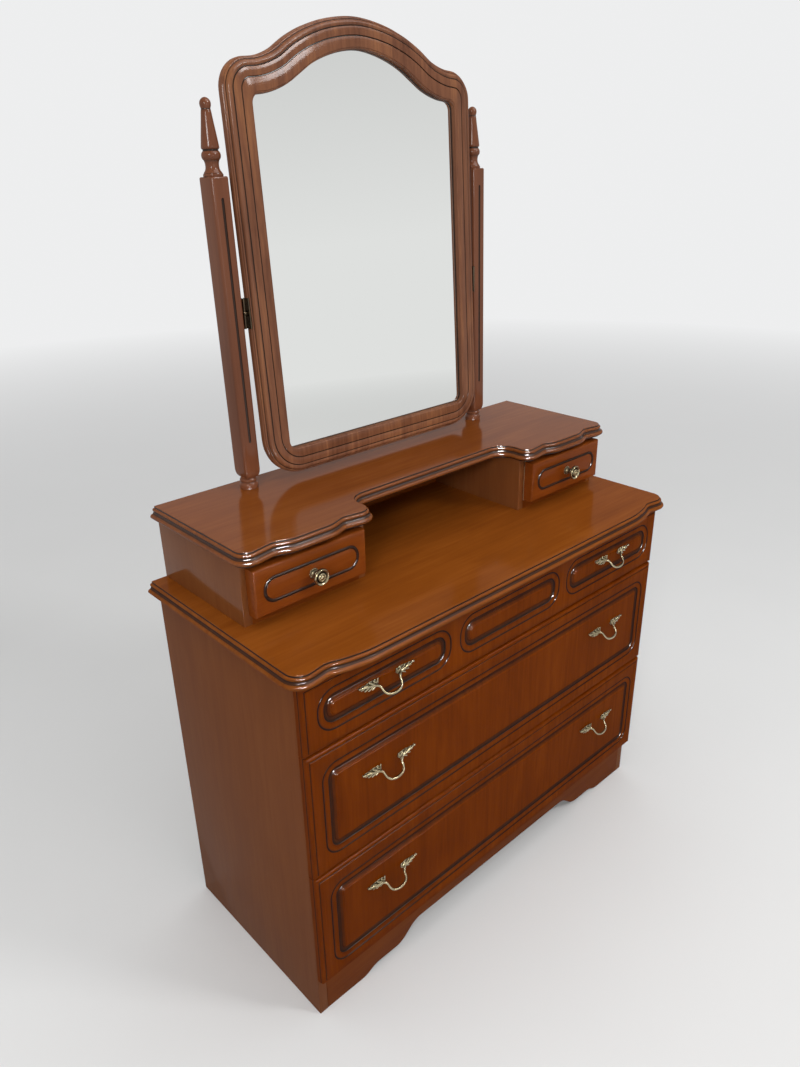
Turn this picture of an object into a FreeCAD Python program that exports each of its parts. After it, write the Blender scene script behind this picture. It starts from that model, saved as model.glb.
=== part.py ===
import FreeCAD, Part
"""Dresser with a tilting mirror: three full-width drawers, a gallery with two
small drawers, and a framed mirror that hangs on two pivots between posts.

The dresser is modelled with its back plane at y = 0, its front towards -Y,
x = 0 on its centre plane and the floor at z = 0, all in millimetres.  Each
piece moves forward onto the centre of the dresser's box when it is written.
"""
import math
import os
from dataclasses import dataclass

Vector = FreeCAD.Vector
UP = Vector(0, 0, 1)

# ---------------------------------------------------------------- carcass
carcass_width = 930.0           # over the outer faces of the sides
carcass_depth = 388.0           # back plane to the sides' front edges
carcass_height = 698.0          # floor to the underside of the main top
side_thickness = 18.0
back_thickness = 6.0
base_board_thickness = 16.0
base_top_height = 86.0          # floor to the top of the base board
plinth_thickness = 18.0
rail_thickness = 18.0
rail_depth = 60.0
runner_width = 22.0

# plinth outline, each half
foot_width = 88.0               # flat foot, in from the side's inner face
foot_ogee_run = 26.0
foot_ogee_rise = 12.0
shelf_length = 64.0             # short level between the two ogees
apron_ogee_run = 38.0
apron_ogee_rise = 32.0
plinth_curve_radius = 36.0

# ---------------------------------------------------------------- tops
top_thickness = 24.0
top_side_overhang = 9.5         # flat arris beyond the sides' outer faces
top_front_overhang = 17.0       # flat arris ahead of the drawer fronts
top_corner_radius = 24.0
top_recess_in = 57.5            # recess behind the corner lobe
top_recess_radius = 30.0
top_recess_depth = 17.0
top_lobe_setback = 7.5          # corner lobe, back from the straight front
top_shoulder_run = 47.0
top_shoulder_radius = 200.0
mould_reach = 10.0              # edge moulding, out from the flat arris
flat_turn_deg = 84.0            # most that one flat of a small curve turns
overcut = 1.0                   # how far a cut runs past the wood

# ---------------------------------------------------------------- drawers
front_thickness = 17.5
front_gap = 0.5                 # closed front to the carcass edge
front_reveal = 2.0              # gap below the main top and above the plinth
front_joint_gap = 2.0           # gap between neighbouring fronts
upper_front_height = 132.0
middle_front_height = 238.0
front_bevel = 7.0               # bevel on the front's edges
front_quirk = 1.5               # step beside that bevel
tray_side_thickness = 14.0
tray_bottom_thickness = 5.0
tray_bottom_lift = 12.0         # tray edge to the underside of its bottom
tray_side_gap = 3.0             # tray to carcass side, each side
tray_run_gap = 0.3              # tray to the runner it slides on
tray_head_gap = 12.0            # tray to the rail above it
tray_back_gap = 8.0             # closed tray to the back panel

# raised fields on the fronts
field_margin_side = 29.0        # front's end to the field's outer groove
field_margin_upper_top = 22.0
field_margin_upper_bottom = 36.0
field_margin_top = 27.0
field_margin_bottom = 28.0
field_corner_radius = 29.0
field_upper_radius = 33.0
field_side_width = 278.0        # left and right fields of the upper front
field_between = 23.0
groove_width = 2.4
groove_depth = 1.8
cove_in = 13.0                  # outer groove to the cove
cove_width = 10.0
cove_depth = 4.0

# ---------------------------------------------------------------- gallery
gallery_setback = 18.0          # outer side, in from the carcass side
gallery_side_thickness = 15.0
gallery_side_depth = 245.0
gallery_side_height = 108.0
gallery_box_width = 244.0       # over both sides of one drawer box
gallery_back_thickness = 12.0
gallery_base_thickness = 17.0
gallery_top_thickness = 24.0
gallery_top_overhang = 2.5      # flat arris beyond the outer sides
gallery_lobe_overhang = 22.0    # flat arris ahead of the sides' front edges
gallery_lobe_radius = 19.0
gallery_recess_in = 58.0
gallery_recess_depth = 10.5
gallery_recess_radius = 24.0
gallery_swell_in = 87.0
gallery_swell_radius = 55.0
gallery_swell_overhang = 1.0    # swell ahead of the corner lobes
gallery_inner_lobe = 4.5        # inner lobe beyond the inner side
gallery_bridge_in = 3.0         # bridge's corner, past the inner side's face
gallery_bridge_depth = 197.0
gallery_bridge_radius = 38.0

small_front_thickness = 22.0
small_front_gap = 0.5
small_front_width = 220.0
small_front_height = 81.0
small_front_lift = 19.0         # main top to the small front's lower edge
small_front_shift = 2.5         # small front's centre, outward of the box's
small_front_round = 5.0
small_tray_thickness = 10.0
small_tray_height = 72.0
small_tray_gap = 1.5
small_bottom_thickness = 4.0
small_bottom_lift = 8.0
small_groove_margin_end = 16.0
small_groove_margin_edge = 18.0
small_groove_width = 6.0
small_groove_depth = 2.7
small_groove_roundness = 0.97   # end radius over half the groove's height

# ---------------------------------------------------------------- handles
handle_end_margin = 161.5       # front's end to the handle's centre
handle_half = 56.0              # leaf tip from the handle's centre
handle_reach = 22.0             # bow's centre line ahead of the front
handle_lift = 7.5               # bow's ends ahead of the front
handle_drop = 14.5              # bow's ends to its lowest point
handle_neck_drop = 6.5          # line of the leaf tips to the bow's ends
handle_stud = 28.0              # fixing stud from the handle's centre
handle_stud_radius = 3.2
handle_bow_radius = 2.4
handle_bend_radius = 15.0
handle_neck_radius = 3.0
bow_half = 19.5                 # corner of the bow's droop from its centre
bow_neck = 21.5                 # corner of the neck from the centre
bow_flats = 6                   # flats round the bow
bow_flat_turn_deg = 32.0        # most that one flat along the bow turns
leaf_root = 20.0                # leaf's inner end from the centre
leaf_rise = 4.5                 # leaf above the line of the tips
leaf_fall = 10.5                # and below it
leaf_tip = 1.5                  # half height of the tip
leaf_curve_radius = 14.0
leaf_thickness = 4.0
handle_rises = (10.5, 38.5, 32.5)   # tips above the field's middle, top drawer first

knob_radius = 14.5
knob_projection = 25.0
knob_plate_radius = 8.5
knob_plate_thickness = 2.0

# ---------------------------------------------------------------- posts
post_gap = 8.5                  # mirror frame to the post's inner face
post_seat_y = -40.0             # centre of the post on the gallery top
post_rake_deg = 1.5
post_width = 31.0
post_depth = 38.0
post_corner_radius = 5.0
post_foot_radius = 16.0
post_foot_height = 18.0         # seat to the square part
post_foot_disc = 10.0
post_foot_bevel = 3.0
post_neck_radius = 14.0
post_neck_height = 8.0
post_shoulder_height = 16.0     # turned shoulder of the square part
post_square_height = 481.0
post_groove_width = 5.0
post_groove_depth = 2.5
post_groove_start = 66.0        # above the square part's lower end
finial_height = 107.0
finial_flare_radius = 15.3

# ---------------------------------------------------------------- mirror
pivot_height = 1150.0
pivot_y = -48.0
pivot_radius = 2.5
pivot_clearance = 0.05
pivot_boss_radius = 4.5
pivot_bore_depth = 14.0
pivot_bore_spare = 1.0          # pin's end to the bottom of its bore
pivot_run_gap = 0.3
plate_thickness = 2.0
plate_height = 48.0
post_plate_width = 13.0
post_plate_setback = 2.5        # plate's centre behind the pin
frame_plate_width = 14.0
mirror_lean_deg = 3.2
mirror_pivot_setback = 6.0      # pivot behind the frame's middle plane
frame_half_width = 264.5
frame_thickness = 22.0
frame_bottom_drop = 284.0       # pivot to the frame's lower edge
frame_shoulder_rise = 361.0     # pivot to the frame's outer upper corner
frame_crest_rise = 72.0         # upper corner to the top of the crest
frame_lower_radius = 45.0
frame_upper_radius = 48.0
frame_step_in = 91.0            # outer corner to the foot of the arch step
frame_step_rise = 11.0
frame_step_radius = 34.0
frame_arch_foot_radius = 48.0
frame_arch_start = 146.0        # foot of the arch from the centre
frame_arch_drop = 43.0
frame_arch_half = 50.0
frame_arch_radius = 225.0
frame_member = 47.0             # outer edge to the glass at the sides
frame_member_bottom = 48.0
frame_member_top = 49.0
sight_corner_radius = 13.0
sight_shoulder_drop = 51.0      # frame's upper corner to the glass's
sight_shoulder_radius = 14.0
sight_swell_x = 150.0
sight_swell_drop = 54.0         # top of the glass to the swell
sight_swell_radius = 190.0
sight_arch_half = 53.0
sight_arch_radius = 185.0
frame_back_edge = 6.0           # square edge at the back of the frame
frame_bead_height = 10.0
frame_bead_width = 4.5
frame_bead_rise = 3.0
frame_field_step = 2.0          # flat field below the front of the torus
frame_torus_width = 24.0        # outer edge to the groove beside the field
frame_torus_bulge = 5.0
frame_groove_width = 3.0
frame_groove_depth = 3.0
sight_lip_width = 6.5
sight_lip_drop = 0.6
sight_groove_width = 9.5
sight_groove_drop = 2.0
sight_edge_thickness = 2.0
rabbet_width = 8.0
rabbet_depth = 10.0
glass_thickness = 4.0
rabbet_clearance = 0.5

# ---------------------------------------------------------------- derived
half_width = carcass_width / 2
inner_half = half_width - side_thickness
top_surface = carcass_height + top_thickness
drawer_face_y = -(carcass_depth + front_gap + front_thickness)
top_front_y = drawer_face_y - top_front_overhang
overall_depth = -top_front_y + mould_reach
fronts_bottom = base_top_height + front_reveal
fronts_top = carcass_height - front_reveal
gallery_half = half_width - gallery_setback
gallery_inner = gallery_half - gallery_box_width
gallery_underside = top_surface + gallery_side_height
gallery_surface = gallery_underside + gallery_top_thickness
gallery_box_centre = gallery_half - gallery_box_width / 2
small_front_centre = gallery_box_centre + small_front_shift
handle_offset = half_width - handle_end_margin
frame_apex_rise = frame_shoulder_rise + frame_crest_rise
post_inner_x = frame_half_width + post_gap
post_offset = post_inner_x + post_width / 2
small_face_y = -(gallery_side_depth + small_front_gap + small_front_thickness)


# ---------------------------------------------------------------- outlines
@dataclass(frozen=True)
class Run:
    """A straight or round stretch of an outline; turn is 0 where straight."""

    start: Vector
    end: Vector
    centre: Vector
    turn: float

    def heading(self):
        """Direction of travel at the start of the stretch."""
        if self.turn == 0:
            return (self.end - self.start).normalize()
        spoke = self.start - self.centre
        return UP.cross(spoke).normalize() * math.copysign(1.0, self.turn)

    def edge(self):
        """The stretch as an edge."""
        if self.turn == 0:
            return Part.LineSegment(self.start, self.end).toShape()
        return Part.Arc(self.start, self.middle(), self.end).toShape()

    def middle(self):
        """Point half-way round a round stretch."""
        spoke = self.start - self.centre
        half = self.turn / 2
        across = Vector(-spoke.y, spoke.x, 0)
        return self.centre + spoke * math.cos(half) + across * math.sin(half)

    def moved_out(self, distance):
        """The stretch shifted to the right of its travel."""
        if self.turn == 0:
            shift = self.heading().cross(UP) * distance
            return Run(self.start + shift, self.end + shift, self.centre, 0)
        first = self.start - self.centre
        last = self.end - self.centre
        scale = 1 + distance * math.copysign(1.0, self.turn) / first.Length
        return Run(self.centre + first * scale, self.centre + last * scale, self.centre, self.turn)


def corner_run(before, corner, after):
    """The arc that rounds one corner (x, y, radius) of a polygon."""
    point = Vector(corner[0], corner[1], 0)
    arriving = (point - Vector(before[0], before[1], 0)).normalize()
    leaving = (Vector(after[0], after[1], 0) - point).normalize()
    turn = math.atan2(arriving.cross(leaving).z, arriving.dot(leaving))
    setback = corner[2] * math.tan(abs(turn) / 2)
    start = point - arriving * setback
    inward = Vector(-arriving.y, arriving.x, 0) * math.copysign(corner[2], turn)
    return Run(start, point + leaving * setback, start + inward, turn)


def rounded_outline(corners):
    """Closed outline, anticlockwise, from polygon corners (x, y, radius)."""
    arcs = [
        corner_run(corners[index - 1], corner, corners[(index + 1) % len(corners)])
        for index, corner in enumerate(corners)
    ]
    runs = []
    for index, arc in enumerate(arcs):
        following = arcs[(index + 1) % len(arcs)]
        if (arc.end - arc.start).Length > 1e-4:
            runs.append(arc)
        if (following.start - arc.end).Length > 1e-4:
            runs.append(Run(arc.end, following.start, Vector(), 0))
    return runs


def mirrored_corners(right_half):
    """Corners of a symmetric outline from its right half, bottom to top."""
    left_half = [(-x, y, radius) for x, y, radius in reversed(right_half)]
    return right_half + left_half


def offset_outline(runs, distance):
    """An outline moved outward by a distance, or inward where negative."""
    return [run.moved_out(distance) for run in runs]


def outline_face(runs):
    """Flat face inside an outline."""
    return Part.Face(Part.Wire([run.edge() for run in runs]))


def slab(runs, low, high):
    """The inside of an outline between two levels."""
    face = outline_face(runs)
    face.translate(Vector(0, 0, low))
    return face.extrude(Vector(0, 0, high - low))


def rounded_rectangle(x0, y0, x1, y1, radius):
    """Outline of a rectangle with round corners."""
    return rounded_outline([(x1, y0, radius), (x1, y1, radius), (x0, y1, radius), (x0, y0, radius)])


def arc_flats(start, end, bulge):
    """Points that follow an arc over a chord, each flat turning a little."""
    chord = end - start
    swing = 4 * math.atan(2 * abs(bulge) / chord.Length)
    radius = chord.Length / (2 * math.sin(swing / 2))
    side = Vector(-chord.z, 0, chord.x).normalize() * math.copysign(1.0, bulge)
    along = chord * (1 / chord.Length)
    count = math.ceil(swing / math.radians(flat_turn_deg))
    centre = start + chord * 0.5 - side * (radius * math.cos(swing / 2))
    points = []
    for step in range(1, count):
        angle = swing * (step / count - 0.5)
        points.append(centre + along * (radius * math.sin(angle)) + side * (radius * math.cos(angle)))
    return points


def section_wire(points):
    """A moulding's section from (outward, level) points.

    A point with a third value is reached along an arc, made of flats, that
    bulges by that much to the left of its travel.
    """
    route = []
    for point in points:
        place = Vector(point[0], 0, point[1])
        if len(point) == 3:
            route.extend(arc_flats(route[-1], place, point[2]))
        route.append(place)
    return Part.makePolygon(route)


def travel_placement(place, heading):
    """Placement that turns a section's x outward and y along its travel."""
    outward = heading.cross(UP)
    return FreeCAD.Placement(FreeCAD.Matrix(
        outward.x, heading.x, 0, place.x,
        outward.y, heading.y, 0, place.y,
        outward.z, heading.z, 1, place.z,
        0, 0, 0, 1))


def swept_faces(runs, section):
    """Faces left by a section that travels round an outline."""
    faces = []
    for run in runs:
        placed = section.copy()
        placed.Placement = travel_placement(run.start, run.heading())
        if run.turn == 0:
            swept = placed.extrude(run.end - run.start)
        else:
            swept = placed.revolve(run.centre, UP, math.degrees(run.turn))
        faces.extend(swept.Faces)
    return faces


def closed_solid(faces):
    """Solid inside faces that meet edge to edge."""
    shell = Part.Shell(faces)
    shell.sewShape()
    solid = Part.Solid(shell)
    if solid.Volume < 0:
        solid.reverse()
    return solid


def swept_ring(runs, points):
    """Solid ring: a closed section of points taken round an outline."""
    return closed_solid(swept_faces(runs, section_wire(points + [points[0]])))


def turned_solid(points):
    """Turned piece from its half section of (radius, level) points."""
    return Part.Face(section_wire(points)).revolve(Vector(), UP, 360)


def box(x0, x1, y0, y1, z0, z1):
    """Board between two corners."""
    return Part.makeBox(x1 - x0, y1 - y0, z1 - z0, Vector(x0, y0, z0))


def mirror_x(shape):
    """The shape's mirror image on the other side of the centre plane."""
    return shape.mirror(Vector(), Vector(1, 0, 0))


def stood_up(shape, face_y):
    """A shape modelled lying face up, stood with that face towards -Y."""
    shape.rotate(Vector(), Vector(1, 0, 0), 90)
    shape.translate(Vector(0, face_y, 0))
    return shape


# ---------------------------------------------------------------- tops
def top_edge_section(thickness):
    """Slope, thin bead, hollow and torus below a flat top's arris, in flats."""
    reach = mould_reach
    return section_wire([
        (0, 0),
        (0, -0.06 * thickness),
        (0.62 * reach, -0.25 * thickness),
        (0.92 * reach, -0.34 * thickness),
        (0.62 * reach, -0.43 * thickness),
        (0.40 * reach, -0.62 * thickness),
        (reach, -0.81 * thickness),
        (0.40 * reach, -thickness),
    ])


def moulded_top(corners, surface, thickness):
    """A top with its moulded edge, cut straight along the back plane."""
    runs = rounded_outline(corners)
    section = top_edge_section(thickness)
    lower_edge = section.Vertexes[-1].Point
    faces = swept_faces(runs, section)
    faces.append(outline_face(runs))
    underside = outline_face(offset_outline(runs, lower_edge.x))
    underside.translate(Vector(0, 0, lower_edge.z))
    faces.append(underside)
    board = closed_solid(faces)
    board.translate(Vector(0, 0, surface))
    reach = carcass_width
    return board.cut(box(-reach, reach, 0, reach, surface - 2 * thickness, surface + thickness))


def behind_back(half):
    """Rear corner of a top's outline, trimmed off later at the back plane."""
    return (half, 2 * top_corner_radius, top_corner_radius)


def main_top():
    """Main top: lobed front corners, shallow recesses and a straight front."""
    half = half_width + top_side_overhang
    lobe_y = top_front_y + top_lobe_setback
    recess_x = half - top_recess_in
    right = [
        (recess_x - top_shoulder_run, top_front_y, top_shoulder_radius),
        (recess_x, top_front_y + top_recess_depth, top_recess_radius),
        (half, lobe_y, top_corner_radius),
        behind_back(half),
    ]
    return moulded_top(mirrored_corners(right), top_surface, top_thickness)


def gallery_top():
    """Gallery top: a swelling front over each box and a bridge between."""
    outer = gallery_half + gallery_top_overhang
    inner = gallery_inner - gallery_inner_lobe
    lobe_y = -(gallery_side_depth + gallery_lobe_overhang)
    recess_y = lobe_y + gallery_recess_depth
    swell_y = lobe_y - gallery_swell_overhang
    bridge_x = gallery_inner + gallery_bridge_in
    right = [
        (bridge_x, -gallery_bridge_depth, gallery_bridge_radius),
        (inner, lobe_y, gallery_lobe_radius),
        (inner + gallery_recess_in, recess_y, gallery_recess_radius),
        (inner + gallery_swell_in, swell_y, gallery_swell_radius),
        (outer - gallery_swell_in, swell_y, gallery_swell_radius),
        (outer - gallery_recess_in, recess_y, gallery_recess_radius),
        (outer, lobe_y, gallery_lobe_radius),
        behind_back(outer),
    ]
    return moulded_top(mirrored_corners(right), gallery_surface, gallery_top_thickness)


# ---------------------------------------------------------------- carcass
def side_board():
    """Right side, straight down to the floor."""
    return box(inner_half, half_width, -carcass_depth, 0, 0, carcass_height)


def back_panel():
    """Thin back, let in between the sides from the base board up."""
    low = base_top_height - base_board_thickness
    return box(-inner_half, inner_half, -back_thickness, 0, low, carcass_height)


def base_board():
    """Board below the lowest drawer."""
    low = base_top_height - base_board_thickness
    front = -carcass_depth + plinth_thickness
    return box(-inner_half, inner_half, front, -back_thickness, low, base_top_height)


def plinth_board():
    """Front plinth with a stepped ogee outline between its feet."""
    foot_x = inner_half - foot_width
    shelf_x = foot_x - foot_ogee_run
    shelf_end_x = shelf_x - shelf_length
    apron_x = shelf_end_x - apron_ogee_run
    apron_z = foot_ogee_rise + apron_ogee_rise
    left = [
        (-inner_half, 0, 0),
        (-foot_x, 0, plinth_curve_radius),
        (-shelf_x, foot_ogee_rise, plinth_curve_radius),
        (-shelf_end_x, foot_ogee_rise, plinth_curve_radius),
        (-apron_x, apron_z, plinth_curve_radius),
    ]
    right = [(-x, z, radius) for x, z, radius in reversed(left)]
    upper = [(inner_half, base_top_height, 0), (-inner_half, base_top_height, 0)]
    board = slab(rounded_outline(left + right + upper), -plinth_thickness, 0)
    return stood_up(board, -carcass_depth)


def front_spans():
    """Lower and upper edge of the three drawer fronts, top drawer first."""
    middle_top = fronts_top - upper_front_height - front_joint_gap
    lower_top = middle_top - middle_front_height - front_joint_gap
    return [
        (middle_top + front_joint_gap, fronts_top),
        (lower_top + front_joint_gap, middle_top),
        (fronts_bottom, lower_top),
    ]


def rail_level(index):
    """Underside of the rail below front 0 or 1, centred on their joint."""
    joint = front_spans()[index][0] - front_joint_gap / 2
    return joint - rail_thickness / 2


def front_rail(index):
    """Rail across the carcass between two drawers."""
    low = rail_level(index)
    return box(-inner_half, inner_half, -carcass_depth, -carcass_depth + rail_depth,
               low, low + rail_thickness)


def runner_pair(index):
    """Runners behind a rail, one on each side, that carry the drawer above."""
    low = rail_level(index)
    right = box(inner_half - runner_width, inner_half, -carcass_depth + rail_depth,
                -back_thickness, low, low + rail_thickness)
    return Part.makeCompound([mirror_x(right), right])


# ---------------------------------------------------------------- drawers
def stepped_front(x0, z0, x1, z1, thickness):
    """Drawer front lying face up: a back slab and a bevelled raised slab."""
    backing = box(x0, x1, z0, z1, -thickness, -front_bevel - front_quirk)
    raised = box(x0 + front_quirk, x1 - front_quirk, z0 + front_quirk, z1 - front_quirk,
                 -front_bevel - front_quirk, 0)
    rim = [edge for edge in raised.Edges if min(v.Z for v in edge.Vertexes) > -1e-6]
    return backing.fuse(raised.makeChamfer(front_bevel, rim)).removeSplitter()


def field_groove(runs):
    """Thin V groove round a field."""
    half = groove_width / 2
    return swept_ring(runs, [(-half, overcut), (-half, 0), (0, -groove_depth), (half, 0),
                             (half, overcut)])


def field_cove(runs):
    """Sunk cove that stands the middle of a field off its border."""
    inner = offset_outline(runs, -cove_in)
    return swept_ring(inner, [(0, overcut), (-cove_width, overcut), (-cove_width, 0),
                              (-0.4 * cove_width, -cove_depth), (0, 0)])


def fielded_front(span, fields):
    """Full-width drawer front with raised fields, standing in its place."""
    low, high = span
    front = stepped_front(-half_width, low, half_width, high, front_thickness)
    cutters = []
    for x0, z0, x1, z1, radius in fields:
        runs = rounded_rectangle(x0, z0, x1, z1, radius)
        cutters.append(field_groove(runs))
        cutters.append(field_cove(runs))
    return stood_up(front.cut(cutters), drawer_face_y)


def upper_front():
    """Upper front: one board that looks like three small drawers."""
    span = front_spans()[0]
    low = span[0] + field_margin_upper_bottom
    high = span[1] - field_margin_upper_top
    outer = half_width - field_margin_side
    inner = outer - field_side_width
    middle = inner - field_between
    fields = [(-outer, -inner), (-middle, middle), (inner, outer)]
    return fielded_front(span, [(x0, low, x1, high, field_upper_radius) for x0, x1 in fields])


def lower_front(span):
    """Middle or lower front with one long field."""
    outer = half_width - field_margin_side
    field = (-outer, span[0] + field_margin_bottom, outer, span[1] - field_margin_top,
             field_corner_radius)
    return fielded_front(span, [field])


def tray_pieces(x0, x1, y0, y1, z0, z1, wall, bottom, lift):
    """Sides, back and bottom of a drawer tray whose front end is open."""
    sides = Part.makeCompound([box(x0, x0 + wall, y0, y1, z0, z1), box(x1 - wall, x1, y0, y1, z0, z1)])
    back = box(x0 + wall, x1 - wall, y1 - wall, y1, z0 + lift + bottom, z1)
    floor = box(x0 + wall, x1 - wall, y0, y1, z0 + lift, z0 + lift + bottom)
    return sides, back, floor


def large_tray(index):
    """Tray pieces of one of the three large drawers."""
    seats = [rail_level(0) + rail_thickness, rail_level(1) + rail_thickness, base_top_height]
    heads = [carcass_height, rail_level(0), rail_level(1)]
    half = inner_half - tray_side_gap
    return tray_pieces(-half, half, drawer_face_y + front_thickness, -back_thickness - tray_back_gap,
                       seats[index] + tray_run_gap, heads[index] - tray_head_gap,
                       tray_side_thickness, tray_bottom_thickness, tray_bottom_lift)


def leaf(side):
    """Leaf-shaped end of a handle, lying face up: a fan that runs to a tip."""
    middle = (handle_half + leaf_root) / 2
    corners = [(leaf_root, -leaf_fall, 0), (middle, -leaf_fall, leaf_curve_radius),
               (handle_half, -leaf_tip, 0), (handle_half, leaf_tip, 0),
               (middle, leaf_rise, leaf_curve_radius), (leaf_root, leaf_rise, 0)]
    corners = [(side * x, y, radius) for x, y, radius in corners]
    if side < 0:
        corners.reverse()
    return slab(rounded_outline(corners), 0, leaf_thickness)


def regular_outline(radius, count):
    """Outline of a regular polygon about the origin."""
    turns = [2 * math.pi * step / count for step in range(count)]
    return rounded_outline([(radius * math.cos(turn), radius * math.sin(turn), 0) for turn in turns])


def rounded_route(corners):
    """Points along a route whose corners (x, y, radius) are eased by flats."""
    points = [Vector(corners[0][0], corners[0][1], 0)]
    for index in range(1, len(corners) - 1):
        arc = corner_run(*corners[index - 1:index + 2])
        count = math.ceil(abs(arc.turn) / math.radians(bow_flat_turn_deg))
        spoke = arc.start - arc.centre
        across = Vector(-spoke.y, spoke.x, 0)
        for step in range(count + 1):
            angle = arc.turn * step / count
            points.append(arc.centre + spoke * math.cos(angle) + across * math.sin(angle))
    points.append(Vector(corners[-1][0], corners[-1][1], 0))
    return points


def bow():
    """Drooping bow with a swan neck at each end, lying face up."""
    fall = math.hypot(handle_reach - handle_lift, handle_drop)
    right = [(bow_half, -fall, handle_bend_radius), (bow_neck, 0, handle_neck_radius),
             (handle_stud, 0, 0)]
    left = [(-x, y, radius) for x, y, radius in reversed(right)]
    route = rounded_route(left + right)
    turns = [2 * math.pi * step / bow_flats for step in range(bow_flats + 1)]
    section = Part.makePolygon([
        route[0] + Vector(0, handle_bow_radius * math.cos(turn), handle_bow_radius * math.sin(turn))
        for turn in turns
    ])
    shape = Part.makePolygon(route).makePipeShell([section], True, False, 1)
    tilt = math.degrees(math.atan2(handle_reach - handle_lift, handle_drop))
    shape.rotate(Vector(), Vector(1, 0, 0), -tilt)
    shape.translate(Vector(0, -handle_neck_drop, handle_lift))
    return shape


def handle(x, z):
    """Cast handle with its studs, bow and leaf ends, its tips level at z."""
    shape = bow()
    for side in (-1, 1):
        stud = slab(regular_outline(handle_stud_radius, bow_flats), 0, handle_lift)
        stud.translate(Vector(side * handle_stud, -handle_neck_drop, 0))
        shape = shape.fuse([stud, leaf(side)])
    shape = stood_up(shape.removeSplitter(), drawer_face_y)
    shape.translate(Vector(x, 0, z))
    return shape


def handle_level(index):
    """Height of the leaf tips of a drawer's handles."""
    low, high = front_spans()[index]
    margin_bottom = field_margin_bottom if index else field_margin_upper_bottom
    margin_top = field_margin_top if index else field_margin_upper_top
    return (low + margin_bottom + high - margin_top) / 2 + handle_rises[index]


# ---------------------------------------------------------------- gallery
def gallery_outer_side():
    """Outer side of the right drawer box."""
    return box(gallery_half - gallery_side_thickness, gallery_half, -gallery_side_depth, 0,
               top_surface, gallery_underside)


def gallery_inner_side():
    """Inner side of the right drawer box."""
    return box(gallery_inner, gallery_inner + gallery_side_thickness, -gallery_side_depth,
               -gallery_back_thickness, top_surface, gallery_underside)


def gallery_back():
    """Back board of the gallery between its outer sides."""
    half = gallery_half - gallery_side_thickness
    return box(-half, half, -gallery_back_thickness, 0, top_surface, gallery_underside)


def gallery_base():
    """Board in the right box that the small drawer slides on."""
    return box(gallery_inner + gallery_side_thickness, gallery_half - gallery_side_thickness,
               -gallery_side_depth, -gallery_back_thickness,
               top_surface, top_surface + gallery_base_thickness)


def small_front():
    """Right small drawer front with one stadium-shaped groove."""
    low = top_surface + small_front_lift
    x0 = small_front_centre - small_front_width / 2
    board = box(x0, x0 + small_front_width, low, low + small_front_height, -small_front_thickness, 0)
    rim = [edge for edge in board.Edges if min(v.Z for v in edge.Vertexes) > -1e-6]
    board = board.makeFillet(small_front_round, rim)
    half = small_groove_width / 2
    end = small_groove_margin_end + half
    edge = small_groove_margin_edge + half
    radius = small_groove_roundness * (small_front_height / 2 - edge)
    runs = rounded_rectangle(x0 + end, low + edge, x0 + small_front_width - end,
                             low + small_front_height - edge, radius)
    groove = swept_ring(runs, [(-half, overcut), (-half, 0), (half, 0, -small_groove_depth),
                               (half, overcut)])
    return stood_up(board.cut(groove), small_face_y)


def small_tray():
    """Tray pieces of the right small drawer."""
    x0 = gallery_inner + gallery_side_thickness + small_tray_gap
    x1 = gallery_half - gallery_side_thickness - small_tray_gap
    z0 = top_surface + gallery_base_thickness + tray_run_gap
    return tray_pieces(x0, x1, small_face_y + small_front_thickness,
                       -gallery_back_thickness - tray_back_gap, z0, z0 + small_tray_height,
                       small_tray_thickness, small_bottom_thickness, small_bottom_lift)


def knob():
    """Turned knob with rings round a domed middle, on a small backplate."""
    reach = knob_projection
    rim = knob_radius
    turned = turned_solid([
        (0, 0),
        (knob_plate_radius, 0),
        (knob_plate_radius, knob_plate_thickness),
        (0.36 * rim, 0.25 * reach),
        (0.36 * rim, 0.50 * reach),
        (rim, 0.76 * reach),
        (0.88 * rim, 0.94 * reach),
        (0.50 * rim, 0.84 * reach),
        (0, reach),
        (0, 0),
    ])
    turned = stood_up(turned, small_face_y)
    turned.translate(Vector(small_front_centre, 0, top_surface + small_front_lift + small_front_height / 2))
    return turned


# ---------------------------------------------------------------- posts
def raked(shape):
    """A post piece set at the post's place and rake on the gallery top."""
    shape.rotate(Vector(), Vector(1, 0, 0), -post_rake_deg)
    shape.translate(Vector(post_offset, post_seat_y, gallery_surface))
    return shape


def post():
    """Square post with rounded edges, a grooved face and a turned foot."""
    low = post_foot_height
    high = low + post_square_height
    runs = rounded_rectangle(-post_width / 2, -post_depth / 2, post_width / 2, post_depth / 2,
                             post_corner_radius)
    neck = low - post_neck_height
    shaft = slab(runs, neck, high)
    corner = math.hypot(post_width, post_depth) / 2
    shaft = shaft.common(turned_solid([
        (0, neck),
        (post_neck_radius, neck),
        (post_neck_radius, low),
        (corner, low + post_shoulder_height),
        (corner, high + overcut),
        (0, high + overcut),
        (0, neck),
    ]))
    turned = turned_solid([
        (0, -overcut),
        (post_foot_radius, -overcut),
        (post_foot_radius, post_foot_disc),
        (post_neck_radius, post_foot_disc + post_foot_bevel),
        (post_neck_radius, low),
        (0, low),
        (0, -overcut),
    ])
    half = post_groove_width / 2
    groove = Part.makeCylinder(half, post_square_height, Vector(0, 0, low + post_groove_start))
    groove.translate(Vector(0, -post_depth / 2 + half - post_groove_depth, 0))
    leaning = raked(shaft.fuse(turned).removeSplitter().cut(groove))
    below = box(post_offset - post_depth, post_offset + post_depth, post_seat_y - post_depth,
                post_seat_y + post_depth, gallery_underside, gallery_surface)
    return leaning.cut(below)


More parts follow.
